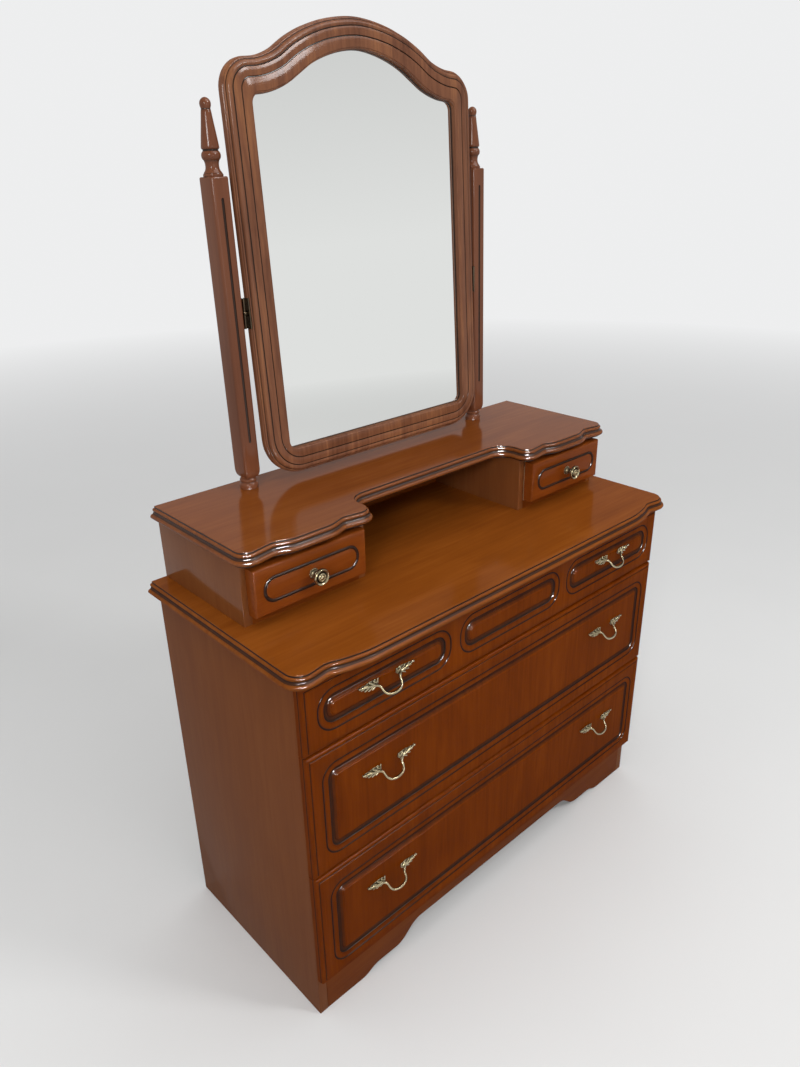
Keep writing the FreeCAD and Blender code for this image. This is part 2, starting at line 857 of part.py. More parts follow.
def finial():
    """Turned finial: flare, neck, ring, tapering vase and ball."""
    flare = finial_flare_radius
    tall = finial_height
    turned = turned_solid([
        (0, 0),
        (flare, 0),
        (0.72 * flare, 0.15 * tall),
        (flare, 0.26 * tall),
        (0.90 * flare, 0.34 * tall),
        (0.52 * flare, 0.83 * tall),
        (0.64 * flare, 0.91 * tall),
        (0, tall),
        (0, 0),
    ])
    turned.translate(Vector(0, 0, post_foot_height + post_square_height))
    return raked(turned)


def post_plate():
    """Pivot plate on the right post's inner face, with its boss and pin."""
    face_x = post_inner_x
    plate_y = pivot_y + post_plate_setback
    plate = box(face_x - plate_thickness, face_x,
                plate_y - post_plate_width / 2, plate_y + post_plate_width / 2,
                pivot_height - plate_height / 2, pivot_height + plate_height / 2)
    boss_end = frame_half_width + plate_thickness + pivot_run_gap
    boss = Part.makeCylinder(pivot_boss_radius, face_x - boss_end,
                             Vector(boss_end, pivot_y, pivot_height), Vector(1, 0, 0))
    pin_start = frame_half_width - pivot_bore_depth + pivot_bore_spare
    pin = Part.makeCylinder(pivot_radius, face_x - pin_start,
                            Vector(pin_start, pivot_y, pivot_height), Vector(1, 0, 0))
    return plate.fuse([boss, pin]).removeSplitter()


# ---------------------------------------------------------------- mirror
def leaned(shape, front_level):
    """A mirror piece, modelled lying face up about the pivot, set in place."""
    shape.translate(Vector(0, 0, front_level))
    shape = stood_up(shape, pivot_y)
    shape.translate(Vector(0, 0, pivot_height))
    shape.rotate(Vector(0, pivot_y, pivot_height), Vector(1, 0, 0), -mirror_lean_deg)
    return shape


def frame_outline():
    """Outer edge of the frame: eared shoulders below an arched crest."""
    shoulder = frame_shoulder_rise
    arch_foot = frame_apex_rise - frame_arch_drop
    return rounded_outline(mirrored_corners([
        (frame_half_width, -frame_bottom_drop, frame_lower_radius),
        (frame_half_width, shoulder, frame_upper_radius),
        (frame_half_width - frame_step_in, shoulder + frame_step_rise, frame_step_radius),
        (frame_arch_start, arch_foot, frame_arch_foot_radius),
        (frame_arch_half, frame_apex_rise, frame_arch_radius),
    ]))


def sight_outline():
    """Edge of the visible glass: square below, arched above."""
    half = frame_half_width - frame_member
    apex = frame_apex_rise - frame_member_top
    return rounded_outline(mirrored_corners([
        (half, -frame_bottom_drop + frame_member_bottom, sight_corner_radius),
        (half, frame_shoulder_rise - sight_shoulder_drop, sight_shoulder_radius),
        (sight_swell_x, apex - sight_swell_drop, sight_swell_radius),
        (sight_arch_half, apex, sight_arch_radius),
    ]))


def frame_edge_cutter(outer):
    """Waste outside the frame's bead and wide torus."""
    above = frame_thickness + overcut
    torus_end = -frame_torus_width
    return swept_ring(outer, [
        (overcut, above),
        (overcut, frame_back_edge),
        (0, frame_back_edge),
        (0, frame_bead_height),
        (-frame_bead_width, frame_bead_height + frame_bead_rise),
        (torus_end, frame_thickness - frame_field_step, frame_torus_bulge),
        (torus_end, above),
    ])


def frame_groove_cutter(outer):
    """Waste of the groove between the torus and the flat field."""
    centre = -frame_torus_width - frame_groove_width / 2
    half = frame_groove_width / 2
    level = frame_thickness - frame_field_step
    return swept_ring(outer, [(centre - half, level + overcut), (centre - half, level),
                              (centre, level - frame_groove_depth), (centre + half, level),
                              (centre + half, level + overcut)])


def sight_edge_cutter(sight):
    """Waste inside the field's groove and fillet and the slope to the glass."""
    level = frame_thickness - frame_field_step
    edge = rabbet_depth + sight_edge_thickness
    return swept_ring(sight, [
        (-overcut, level + overcut),
        (-overcut, edge),
        (0, edge),
        (sight_lip_width, level - sight_lip_drop),
        (sight_lip_width, level - sight_groove_drop),
        (sight_groove_width, level),
        (sight_groove_width, level + overcut),
    ])


def mirror_frame():
    """Arched frame with moulded edges, rabbet and bores for the pivots."""
    outer = frame_outline()
    sight = sight_outline()
    above = frame_thickness + overcut
    frame = slab(outer, 0, frame_thickness).cut(slab(sight, -overcut, above))
    field = slab(offset_outline(outer, -frame_torus_width), frame_thickness - frame_field_step, above)
    rabbet = slab(offset_outline(sight, rabbet_width), -overcut, rabbet_depth)
    bore_level = frame_thickness / 2 - mirror_pivot_setback
    bores = [
        Part.makeCylinder(pivot_radius + pivot_clearance, 2 * pivot_bore_depth,
                          Vector(side * frame_half_width - pivot_bore_depth, 0, bore_level),
                          Vector(1, 0, 0))
        for side in (-1, 1)
    ]
    frame = frame.cut([field, rabbet] + bores)
    frame = frame.cut([frame_edge_cutter(outer), frame_groove_cutter(outer)])
    frame = frame.cut(sight_edge_cutter(sight))
    return leaned(frame, -bore_level)


def glass_plate():
    """Mirror glass in the front of the rabbet."""
    runs = offset_outline(sight_outline(), rabbet_width - rabbet_clearance)
    plate = slab(runs, rabbet_depth - glass_thickness, rabbet_depth)
    return leaned(plate, mirror_pivot_setback - frame_thickness / 2)


def mirror_backing():
    """Thin board behind the glass, flush with the frame's back."""
    runs = offset_outline(sight_outline(), rabbet_width - rabbet_clearance)
    plate = slab(runs, 0, rabbet_depth - glass_thickness)
    return leaned(plate, mirror_pivot_setback - frame_thickness / 2)


def frame_plate():
    """Pivot plate on the frame's right edge, with the hole for the pin."""
    level = frame_thickness / 2 - mirror_pivot_setback
    plate = box(frame_half_width, frame_half_width + plate_thickness, -plate_height / 2,
                plate_height / 2, -level, frame_plate_width - level)
    bore = Part.makeCylinder(pivot_radius + pivot_clearance, 3 * plate_thickness,
                             Vector(frame_half_width - plate_thickness, 0, 0), Vector(1, 0, 0))
    return leaned(plate.cut(bore), 0)


# ---------------------------------------------------------------- pieces
def carcass_pieces():
    """Boards of the carcass and the main top."""
    right = side_board()
    return {
        "side_left": mirror_x(right),
        "side_right": right,
        "back_panel": back_panel(),
        "base_board": base_board(),
        "plinth_board": plinth_board(),
        "rail_upper": front_rail(0),
        "rail_lower": front_rail(1),
        "runners_upper": runner_pair(0),
        "runners_lower": runner_pair(1),
        "main_top": main_top(),
    }


def gallery_pieces():
    """Boards of the gallery, the posts and what stands on them."""
    pieces = {"gallery_back": gallery_back(), "gallery_top": gallery_top()}
    paired = {
        "gallery_side_outer": gallery_outer_side(),
        "gallery_side_inner": gallery_inner_side(),
        "gallery_base": gallery_base(),
        "post": post(),
        "finial": finial(),
        "post_plate": post_plate(),
    }
    for name, right in paired.items():
        pieces[name + "_left"] = mirror_x(right)
        pieces[name + "_right"] = right
    return pieces


def large_drawer_pieces():
    """Fronts, trays and handles of the three large drawers."""
    pieces = {}
    spans = front_spans()
    fronts = [upper_front(), lower_front(spans[1]), lower_front(spans[2])]
    for index, level in enumerate(("upper", "middle", "lower")):
        name = "drawer_" + level
        sides, back, bottom = large_tray(index)
        pieces[name + "_front"] = fronts[index]
        pieces[name + "_sides"] = sides
        pieces[name + "_back"] = back
        pieces[name + "_bottom"] = bottom
        right = handle(handle_offset, handle_level(index))
        pieces["handle_" + level + "_left"] = mirror_x(right)
        pieces["handle_" + level + "_right"] = right
    return pieces


def small_drawer_pieces():
    """Fronts, trays and knobs of the two gallery drawers."""
    pieces = {}
    sides, back, bottom = small_tray()
    right_pieces = {"front": small_front(), "sides": sides, "back": back, "bottom": bottom}
    right_knob = knob()
    for part_name, right in right_pieces.items():
        pieces["small_drawer_left_" + part_name] = mirror_x(right)
        pieces["small_drawer_right_" + part_name] = right
    pieces["knob_left"] = mirror_x(right_knob)
    pieces["knob_right"] = right_knob
    return pieces


def mirror_pieces():
    """The tilting mirror and its pivot plates."""
    right_plate = frame_plate()
    return {
        "mirror_frame": mirror_frame(),
        "mirror_glass": glass_plate(),
        "mirror_backing": mirror_backing(),
        "frame_plate_left": mirror_x(right_plate),
        "frame_plate_right": right_plate,
    }


def main():
    """Build every piece and write one STEP file for each."""
    os.makedirs("parts", exist_ok=True)
    pieces = {}
    for group in (carcass_pieces, gallery_pieces, large_drawer_pieces, small_drawer_pieces,
                  mirror_pieces):
        pieces.update(group())
    for name, shape in pieces.items():
        shape.translate(Vector(0, overall_depth / 2, 0))
        shape.exportStep("parts/" + name + ".step")


main()
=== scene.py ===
"""Looks of a dresser with a tilting mirror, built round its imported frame."""
import logging
import math
from dataclasses import dataclass, field
from enum import Enum
from typing import Callable, Sequence

import bmesh
import bpy
from mathutils import Matrix, Vector


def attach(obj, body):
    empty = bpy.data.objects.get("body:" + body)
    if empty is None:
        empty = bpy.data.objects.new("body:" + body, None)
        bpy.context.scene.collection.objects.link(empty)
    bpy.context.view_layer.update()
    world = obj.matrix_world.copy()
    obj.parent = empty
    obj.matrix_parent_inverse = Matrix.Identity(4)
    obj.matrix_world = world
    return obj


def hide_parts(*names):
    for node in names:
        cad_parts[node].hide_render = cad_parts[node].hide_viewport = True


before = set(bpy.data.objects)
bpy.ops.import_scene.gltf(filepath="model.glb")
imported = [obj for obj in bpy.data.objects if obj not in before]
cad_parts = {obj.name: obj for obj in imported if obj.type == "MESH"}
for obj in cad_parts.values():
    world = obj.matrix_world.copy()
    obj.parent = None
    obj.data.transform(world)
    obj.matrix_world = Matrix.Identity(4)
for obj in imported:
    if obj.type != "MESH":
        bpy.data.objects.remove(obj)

log = logging.getLogger("dresser")

MM = 0.001
HALF_DEPTH = 216.5      # the frame's origin, ahead of the dresser's back plane
TO_FRAME = Matrix.Scale(MM, 4) @ Matrix.Translation((0, HALF_DEPTH, 0))
STEP_DROP = 1.0         # vertical pull given to a loop while it is offset
SKIN = 1e-3             # how far off a plane a point still counts as on it
MERGE = 0.004           # points nearer than this are made one
FRONTS_Y = -406.0       # face of the large drawer fronts
GLAZE_AND_SHADE = "glaze_and_shade"         # point layer: how much dark glaze and painted shade lies there
RING = "ring"           # point layer: number of a loop, while on the bench

Triple = tuple[float, float, float]
Colour = Triple
Corner = Triple         # x, y, radius of an outline's corner
Station = Triple        # outward, level, and glaze with painted shade of a moulding
Rod = list[tuple[float, float, float, float]]           # x, y, z, thickness along a bar
Field = tuple[float, float, float, float, float]        # x0, z0, x1, z1, corner radius
Object = bpy.types.Object
Socket = bpy.types.NodeSocket
Feed = Socket | float | tuple                           # what goes into a node's input

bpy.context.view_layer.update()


# ---------------------------------------------------------------- sections
def arc(start: tuple[float, float], end: tuple[float, float], bulge: float,
        count: int, shade: Sequence[float] = (0.0, 0.0, 0.0)) -> list[Station]:
    """Stations along a round part of a moulding.

    Args:
        start: Outward and level where the arc starts.
        end: Outward and level where it ends.
        bulge: Height of the arc over its chord, to the left of its travel.
        count: Number of flats along it.
        shade: Glaze and painted shade at its start, middle and end.

    Returns:
        The stations, the arc's ends among them.
    """
    chord = Vector((end[0] - start[0], end[1] - start[1]))
    side = Vector((-chord.y, chord.x)).normalized() * math.copysign(1.0, bulge)
    swing = 4 * math.atan(2 * abs(bulge) / chord.length)
    radius = chord.length / (2 * math.sin(swing / 2))
    centre = Vector(start) + chord / 2 - side * (radius * math.cos(swing / 2))
    along = chord.normalized()
    stations = []
    for step in range(count + 1):
        part = step / count
        angle = swing * (part - 0.5)
        point = centre + along * (radius * math.sin(angle)) + side * (radius * math.cos(angle))
        first, last = shade[:2] if part < 0.5 else shade[1:]
        blend = part * 2 if part < 0.5 else part * 2 - 1
        stations.append((point.x, point.y, first + (last - first) * blend))
    return stations


def mirrored(right_half: Sequence[Corner]) -> list[Corner]:
    """Corners of a symmetric outline from its right half, bottom to top."""
    return list(right_half) + [(-x, y, radius) for x, y, radius in reversed(right_half)]


def rectangle(x0: float, y0: float, x1: float, y1: float, radius: float = 0.0) -> list[Corner]:
    """Corners of a rectangle, anticlockwise."""
    return [(x1, y0, radius), (x1, y1, radius), (x0, y1, radius), (x0, y0, radius)]


def inside(x0: float, y0: float, x1: float, y1: float) -> Callable[[Vector], bool]:
    """Test for points of a piece's face within a rectangle."""
    return lambda p: p.z > -SKIN and x0 < p.x < x1 and y0 < p.y < y1


def on_rim(x0: float, y0: float, x1: float, y1: float) -> Callable[[Vector], bool]:
    """Test for points on the sides of a rectangle, or beyond them."""
    slack = 0.01
    return lambda p: (p.x < x0 + slack or p.x > x1 - slack
                      or p.y < y0 + slack or p.y > y1 - slack)


# ---------------------------------------------------------------- the bench
def take_up(obj: Object) -> None:
    """Selects one object alone and makes it the active one.

    Args:
        obj: The object.
    """
    bpy.ops.object.select_all(action="DESELECT")
    obj.select_set(True)
    bpy.context.view_layer.objects.active = obj


def own_copy(obj: Object, name: str) -> Object:
    """Copies an object together with its mesh.

    Args:
        obj: The object.
        name: Name of the copy.

    Returns:
        The copy, in the scene and taken up.
    """
    made = obj.copy()
    made.data = obj.data.copy()
    made.name = made.data.name = name
    bpy.context.scene.collection.objects.link(made)
    take_up(made)
    return made


def other_side(right: Object, name: str) -> Object:
    """A piece's mirror image on the left, with its own mesh.

    Args:
        right: The finished piece of the right side.
        name: Name of the new piece.

    Returns:
        The new piece, with its faces pointing outwards.
    """
    left = own_copy(right, name)
    left.scale = (-1, 1, 1)
    bpy.ops.object.transform_apply(location=False, rotation=False, scale=True)
    bpy.ops.object.mode_set(mode="EDIT")
    bpy.ops.mesh.select_all(action="SELECT")
    bpy.ops.mesh.normals_make_consistent(inside=False)
    bpy.ops.object.mode_set(mode="OBJECT")
    return left


def cut_below(obj: Object, level: float) -> None:
    """Cuts an object off level and closes the cut.

    Args:
        obj: The object.
        level: Height of the cut, in the object's own unit.
    """
    take_up(obj)
    bpy.ops.object.mode_set(mode="EDIT")
    bpy.ops.mesh.select_all(action="SELECT")
    bpy.ops.mesh.bisect(plane_co=(0, 0, level), plane_no=(0, 0, -1), use_fill=True,
                        clear_outer=True)
    bpy.ops.object.mode_set(mode="OBJECT")


def work(obj: Object, kind: str, **values: object) -> None:
    """Adds a modifier to an object and applies it at once.

    Args:
        obj: The object.
        kind: Blender's name for the modifier.
        values: Settings of the modifier by name.
    """
    take_up(obj)
    modifier = obj.modifiers.new(kind.lower(), kind)
    for name, value in values.items():
        setattr(modifier, name, value)
    bpy.ops.object.modifier_apply(modifier=modifier.name)


def standing(face_y: float) -> Matrix:
    """Stands a piece that lies face up, with its face towards the front."""
    return Matrix.Translation((0, face_y, 0)) @ Matrix.Rotation(math.radians(90), 4, "X")


class Workpiece:
    """A piece on the bench: shaped in edit mode in mm, then set in place."""

    def __init__(self, name: str) -> None:
        """Puts an empty mesh on the bench and opens it in edit mode.

        Args:
            name: Name of the piece.
        """
        if bpy.context.object is not None and bpy.context.object.mode != "OBJECT":
            bpy.ops.object.mode_set(mode="OBJECT")
        bpy.ops.object.select_all(action="DESELECT")
        bpy.ops.mesh.primitive_plane_add()
        self.obj = bpy.context.object
        self.obj.name = self.obj.data.name = name
        bpy.ops.object.mode_set(mode="EDIT")
        bpy.ops.mesh.delete(type="VERT")
        for layer in (GLAZE_AND_SHADE, RING):
            self.mesh().verts.layers.float.new(layer)

    def mesh(self) -> bmesh.types.BMesh:
        """The piece's mesh as it is in edit mode."""
        return bmesh.from_edit_mesh(self.obj.data)

    def update(self) -> None:
        """Shows a change that was made in code to edit mode."""
        bmesh.update_edit_mesh(self.obj.data)

    @staticmethod
    def select(mode: str, action: str = "DESELECT") -> None:
        """Takes points, edges or faces as what is selected, and selects all or none."""
        bpy.ops.mesh.select_mode(type=mode)
        bpy.ops.mesh.select_all(action=action)

    def mark(self, layer: str, value: float) -> None:
        """Writes a value to the selected points.

        Args:
            layer: Point layer that gets the value.
            value: The value.
        """
        mesh = self.mesh()
        marks = mesh.verts.layers.float[layer]
        for vertex in mesh.verts:
            if vertex.select:
                vertex[marks] = value

    def choose_ring(self, number: float) -> None:
        """Selects the open edges of a numbered loop.

        Args:
            number: Number of the loop.
        """
        self.select("EDGE")
        mesh = self.mesh()
        ring = mesh.verts.layers.float[RING]
        for edge in mesh.edges:
            if len(edge.link_faces) < 2 and all(vertex[ring] == number for vertex in edge.verts):
                edge.select_set(True)
        self.update()

    def choose(self, wanted: Callable[[Vector], bool], boundary: bool = True) -> None:
        """Selects the edges whose ends are wanted.

        Args:
            wanted: Says whether a point belongs to the choice.
            boundary: True to take only edges with fewer than two faces.
        """
        self.select("EDGE")
        mesh = self.mesh()
        for edge in mesh.edges:
            if boundary and len(edge.link_faces) > 1:
                continue
            if all(wanted(vertex.co) for vertex in edge.verts):
                edge.select_set(True)
        self.update()

    def outline(self, corners: Sequence[Corner], level: float = 0.0, flats: int = 8,
                filled: bool = True, number: float = 1.0) -> "Workpiece":
        """Adds a flat outline with rounded corners and selects its edges.

        Args:
            corners: Corners of the outline, anticlockwise.
            level: Height of the outline.
            flats: Number of flats round each corner.
            filled: True to keep the face inside it.
            number: Number of its loop.

        Returns:
            The piece itself.
        """
        self.select("VERT")
        bpy.ops.mesh.primitive_circle_add(vertices=len(corners), radius=1, fill_type="NGON")
        mesh = self.mesh()
        face = next(face for face in mesh.faces if face.select)
        for loop, corner in zip(face.loops, corners):
            loop.vert.co = Vector((corner[0], corner[1], level))
        self.update()
        for index, corner in enumerate(corners):
            after = corners[(index + 1) % len(corners)]
            self._round_corner(corners[index - 1], corner, after, level, flats)
        self.select("FACE")
        mesh = self.mesh()
        for face in mesh.faces:
            if self._is_outline(face, corners, level):
                face.select_set(True)
        self.update()
        self.mark(RING, number)
        if not filled:
            bpy.ops.mesh.delete(type="ONLY_FACE")
        self.choose_ring(number)
        return self

    @staticmethod
    def _is_outline(face: bmesh.types.BMFace, corners: Sequence[Corner], level: float) -> bool:
        """Tells the face of an outline by its level and its extent.

        Args:
            face: A face of the piece.
            corners: Corners of the outline, as they were before the rounding.
            level: Height of the outline.

        Returns:
            True for the face of the outline.
        """
        if any(abs(vertex.co.z - level) > SKIN / 10 for vertex in face.verts):
            return False
        for axis, slack in enumerate((0.5, 60.0)):
            drawn = [corner[axis] for corner in corners]
            found = [vertex.co[axis] for vertex in face.verts]
            if max(abs(max(found) - max(drawn)), abs(min(found) - min(drawn))) >= slack:
                return False
        return True

    def _round_corner(self, before: Corner, corner: Corner, after: Corner, level: float,
                      flats: int) -> None:
        """Rounds one corner of an outline with a vertex bevel.

        Args:
            before: The corner before it.
            corner: The corner.
            after: The corner after it.
            level: Height of the outline.
            flats: Number of flats round the corner.
        """
        point = Vector(corner[:2])
        arriving = (point - Vector(before[:2])).normalized()
        leaving = (Vector(after[:2]) - point).normalized()
        turn = arriving.angle(leaving)
        if corner[2] == 0 or turn < SKIN:
            return
        bpy.ops.mesh.select_all(action="DESELECT")
        for vertex in self.mesh().verts:
            if (vertex.co - Vector((point.x, point.y, level))).length < SKIN:
                vertex.select_set(True)
        self.update()
        bpy.ops.mesh.bevel(offset=corner[2] * math.tan(turn / 2), offset_type="OFFSET",
                           segments=flats, profile=0.5, affect="VERTICES")

    def run(self, stations: Sequence[Station]) -> "Workpiece":
        """Takes the selected loop through the stations of a moulding.

        Args:
            stations: Outward, level, and glaze with painted shade; the first is where the loop
                is.

        Returns:
            The piece itself.
        """
        for before, after in zip(stations, stations[1:]):
            bpy.ops.mesh.extrude_edges_move(
                TRANSFORM_OT_translate={"value": (0, 0, -STEP_DROP)})
            self.mark(GLAZE_AND_SHADE, after[2])
            mesh = self.mesh()
            chosen = [vertex for vertex in mesh.verts if vertex.select]
            centre = sum((vertex.co for vertex in chosen), Vector()) / len(chosen)
            facing = sum(vertex.normal.dot(vertex.co - centre) for vertex in chosen)
            out = (after[0] - before[0]) * math.copysign(1.0, facing)
            if abs(out) > 1e-6:
                bpy.ops.transform.shrink_fatten(value=out, use_even_offset=True)
            bpy.ops.transform.translate(value=(0, 0, STEP_DROP + after[1] - before[1]))
        return self

    def turn(self, profile: Sequence[Station], count: int = 40) -> "Workpiece":
        """Turns a round piece by drawing a circle through a profile.

        Args:
            profile: Radius, level, and glaze with painted shade, from one end to the other.
            count: Number of flats round the piece.

        Returns:
            The piece itself.
        """
        radius, level, _ = profile[0]
        self.select("VERT")
        bpy.ops.mesh.primitive_circle_add(vertices=count, radius=radius, fill_type="NGON",
                                          location=(0, 0, level))
        bpy.ops.mesh.select_mode(type="EDGE")
        for before, after in zip(profile, profile[1:]):
            bpy.ops.mesh.extrude_edges_move(
                TRANSFORM_OT_translate={"value": (0, 0, after[1] - before[1])})
            scale = after[0] / before[0]
            bpy.ops.transform.resize(value=(scale, scale, 1), center_override=(0, 0, after[1]))
            self.mark(GLAZE_AND_SHADE, after[2])
        return self.cap()

    def beads(self, count: int, radius: float, ring: float, level: float) -> None:
        """Sets a ring of small balls on the piece.

        Args:
            count: Number of balls.
            radius: Radius of a ball.
            ring: Radius of the ring.
            level: Height of the ring.
        """
        for index in range(count):
            angle = 2 * math.pi * index / count
            bpy.ops.mesh.select_all(action="DESELECT")
            bpy.ops.mesh.primitive_uv_sphere_add(
                segments=10, ring_count=6, radius=radius,
                location=(ring * math.cos(angle), ring * math.sin(angle), level))

    def cap(self) -> "Workpiece":
        """Closes the selected loop with a face."""
        bpy.ops.mesh.edge_face_add()
        return self

    def fill_between(self) -> None:
        """Fills the flat face between all the open loops."""
        self.select("EDGE", "SELECT")
        bpy.ops.mesh.fill(use_beauty=True)

    def ease(self, width: float, flats: int = 3, clamped: bool = False) -> None:
        """Rounds the selected edges.

        Args:
            width: Width of the rounding.
            flats: Number of flats over it.
            clamped: True to keep it from running over itself where edges are short.
        """
        bpy.ops.mesh.bevel(offset=width, offset_type="OFFSET", segments=flats, profile=0.5,
                           affect="EDGES", clamp_overlap=clamped)

    def block(self, low: Triple, high: Triple, easing: float) -> "Workpiece":
        """Adds a board with eased edges.

        Args:
            low: Lowest corner.
            high: Highest corner.
            easing: Width of the rounding of its edges.

        Returns:
            The piece itself.
        """
        centre = [(a + b) / 2 for a, b in zip(low, high)]
        size = [b - a for a, b in zip(low, high)]
        self.select("EDGE")
        bpy.ops.mesh.primitive_cube_add(size=1, location=centre)
        bpy.ops.transform.resize(value=size, center_override=centre)
        self.ease(easing)
        return self

    def trim(self, level_y: float) -> None:
        """Cuts the piece off square behind a vertical plane.

        Args:
            level_y: Where the plane is.
        """
        bpy.ops.mesh.select_all(action="SELECT")
        bpy.ops.mesh.bisect(plane_co=(0, level_y, 0), plane_no=(0, 1, 0), use_fill=True,
                            clear_outer=True)

    def return_to_bench(self, place: Matrix) -> None:
        """Takes a piece back from its place to be worked on further.

        Args:
            place: Place that it was given in mm.
        """
        self.obj.data.transform((TO_FRAME @ place).inverted())
        take_up(self.obj)
        bpy.ops.object.mode_set(mode="EDIT")

    def leave_bench(self, place: Matrix, smooth_deg: float = 32.0) -> Object:
        """Cleans the piece and sets it in its place in the dresser.

        Args:
            place: Turns and shifts the piece, in mm, before it is scaled.
            smooth_deg: Steepest edge that is shaded as one surface.

        Returns:
            The finished object, at the origin with its place in its mesh.
        """
        bpy.ops.mesh.select_all(action="SELECT")
        bpy.ops.mesh.remove_doubles(threshold=MERGE)
        bpy.ops.mesh.normals_make_consistent(inside=False)
        bpy.ops.object.mode_set(mode="OBJECT")
        ring = self.obj.data.attributes.get(RING)
        if ring is not None:
            self.obj.data.attributes.remove(ring)
        self.obj.matrix_world = TO_FRAME @ place
        take_up(self.obj)
        bpy.ops.object.transform_apply(location=True, rotation=True, scale=True)
        bpy.ops.object.shade_smooth_by_angle(angle=math.radians(smooth_deg))
        return self.obj


# ---------------------------------------------------------------- shaders
class Sheet:
    """A node tree under the hand, with short ways to add and join nodes."""

    def __init__(self, tree: bpy.types.NodeTree) -> None:
        """Takes up a node tree."""
        self.tree = tree

    def feed(self, socket: Socket, value: Feed) -> None:
        """Joins an input to another node, or sets it.

        Args:
            socket: The input.
            value: An output to join it to, a number, a vector or a colour.
        """
        if isinstance(value, Socket):
            self.tree.links.new(value, socket)
        elif socket.type == "RGBA":
            socket.default_value = (*value, 1.0)
        else:
            socket.default_value = value

    def set(self, node: bpy.types.Node, name: str, value: Feed) -> None:
        """Feeds one input of a node.

        Args:
            node: The node.
            name: Name of the input.
            value: What goes into it.
        """
        named = (s for s in node.inputs if s.name.lower() == name.lower() and s.enabled)
        self.feed(next(named), value)

    def add(self, kind: str, **values: object) -> bpy.types.Node:
        """Adds a node and sets its properties and inputs.

        Args:
            kind: Blender's name for the node.
            values: Properties and inputs by name, with _ for a blank.

        Returns:
            The node.
        """
        node = self.tree.nodes.new(kind)
        for name, value in values.items():
            if hasattr(node, name):
                setattr(node, name, value)
            else:
                self.set(node, name.replace("_", " "), value)
        return node

    def place(self, group: bpy.types.NodeTree, **values: Feed) -> dict[str, Socket]:
        """Places a shader group and sets its inputs by name.

        Args:
            group: The group.
            values: What goes into its inputs.

        Returns:
            Its outputs by name.
        """
        node = self.add("ShaderNodeGroup", node_tree=group, **values)
        return {socket.name: socket for socket in node.outputs}

    def math(self, operation: str, first: Feed, second: Feed, clamp: bool = False) -> Socket:
        """Adds a maths node.

        Args:
            operation: Blender's name for what it does.
            first: Its first value.
            second: Its second value.
            clamp: True to keep the result between 0 and 1.

        Returns:
            The result.
        """
        node = self.add("ShaderNodeMath", operation=operation, use_clamp=clamp)
        self.feed(node.inputs[0], first)
        self.feed(node.inputs[1], second)
        return node.outputs[0]

    def plus(self, first: Feed, second: Feed, clamp: bool = False) -> Socket:
        """The sum of two values."""
        return self.math("ADD", first, second, clamp)

    def minus(self, first: Feed, second: Feed) -> Socket:
        """The first value less the second."""
        return self.math("SUBTRACT", first, second)

    def times(self, first: Feed, second: Feed, clamp: bool = False) -> Socket:
        """The product of two values."""
        return self.math("MULTIPLY", first, second, clamp)

    def mix(self, factor: Feed, first: Feed, second: Feed) -> Socket:
        """Mixes two colours.

        Args:
            factor: Share of the second colour.
            first: The first colour.
            second: The second colour.

        Returns:
            The mixed colour.
        """
        node = self.add("ShaderNodeMix", data_type="RGBA")
        for index, value in ((0, factor), (6, first), (7, second)):
            self.feed(node.inputs[index], value)
        return node.outputs[2]

    def noise(self, vector: Socket, scale: float, detail: float, roughness: float = 0.5,
              distortion: float = 0.0) -> Socket:
        """Adds a noise texture.

        Args:
            vector: Where it is read.
            scale: Number of clouds to a metre, about.
            detail: Number of finer layers.
            roughness: Weight of the finer layers.
            distortion: How far it is stirred.

        Returns:
            Its value, from 0 to 1.
        """
        return self.add("ShaderNodeTexNoise", Vector=vector, Scale=scale, Detail=detail,
                        Roughness=roughness, Distortion=distortion).outputs[0]

    def stretch(self, vector: Socket, scale: Triple) -> Socket:
        """Scales a vector by axis.

        Args:
            vector: The vector.
            scale: Factor of each axis.

        Returns:
            The scaled vector.
        """
        node = self.add("ShaderNodeVectorMath", operation="MULTIPLY")
        self.feed(node.inputs[0], vector)
        self.feed(node.inputs[1], scale)
        return node.outputs[0]

    def ramp(self, value: Feed, low: float, high: float) -> Socket:
        """Spreads a part of a value's range over 0 to 1.

        Args:
            value: The value.
            low: What becomes 0.
            high: What becomes 1.

        Returns:
            The spread value.
        """
        node = self.add("ShaderNodeMapRange")
        for socket, fed in zip(node.inputs, (value, low, high)):
            self.feed(socket, fed)
        return node.outputs[0]

    def on_object(self) -> Socket:
        """Where a point lies on the object."""
        return self.add("ShaderNodeTexCoord").outputs["Object"]

    def hollow(self) -> Socket:
        """How much glaze and painted shade the piece's mesh gives a point."""
        return self.add("ShaderNodeAttribute", attribute_name=GLAZE_AND_SHADE).outputs["Fac"]

    def bump(self, height: Socket, strength: float, distance: float) -> Socket:
        """Turns a height into a bumped normal.

        Args:
            height: The height.
            strength: How much of it shows.
            distance: How many metres a height of 1 stands for.

        Returns:
            The normal.
        """
        return self.add("ShaderNodeBump", Strength=strength, Distance=distance,
                        Height=height).outputs["Normal"]


def new_group(name: str, inputs: dict[str, str],
              outputs: dict[str, str]) -> tuple[Sheet, dict[str, Socket], bpy.types.Node]:
    """Opens a shader node group.

    Args:
        name: Name of the group.
        inputs: Kind of each input by name.
        outputs: Kind of each output by name.

    Returns:
        The group's sheet, what comes in by name, and its output node.
    """
    tree = bpy.data.node_groups.new(name, "ShaderNodeTree")
    for way, sockets in (("INPUT", inputs), ("OUTPUT", outputs)):
        for label, kind in sockets.items():
            tree.interface.new_socket(label, in_out=way, socket_type="NodeSocket" + kind)
    entry = tree.nodes.new("NodeGroupInput")
    result = tree.nodes.new("NodeGroupOutput")
    return Sheet(tree), {label: entry.outputs[label] for label in inputs}, result


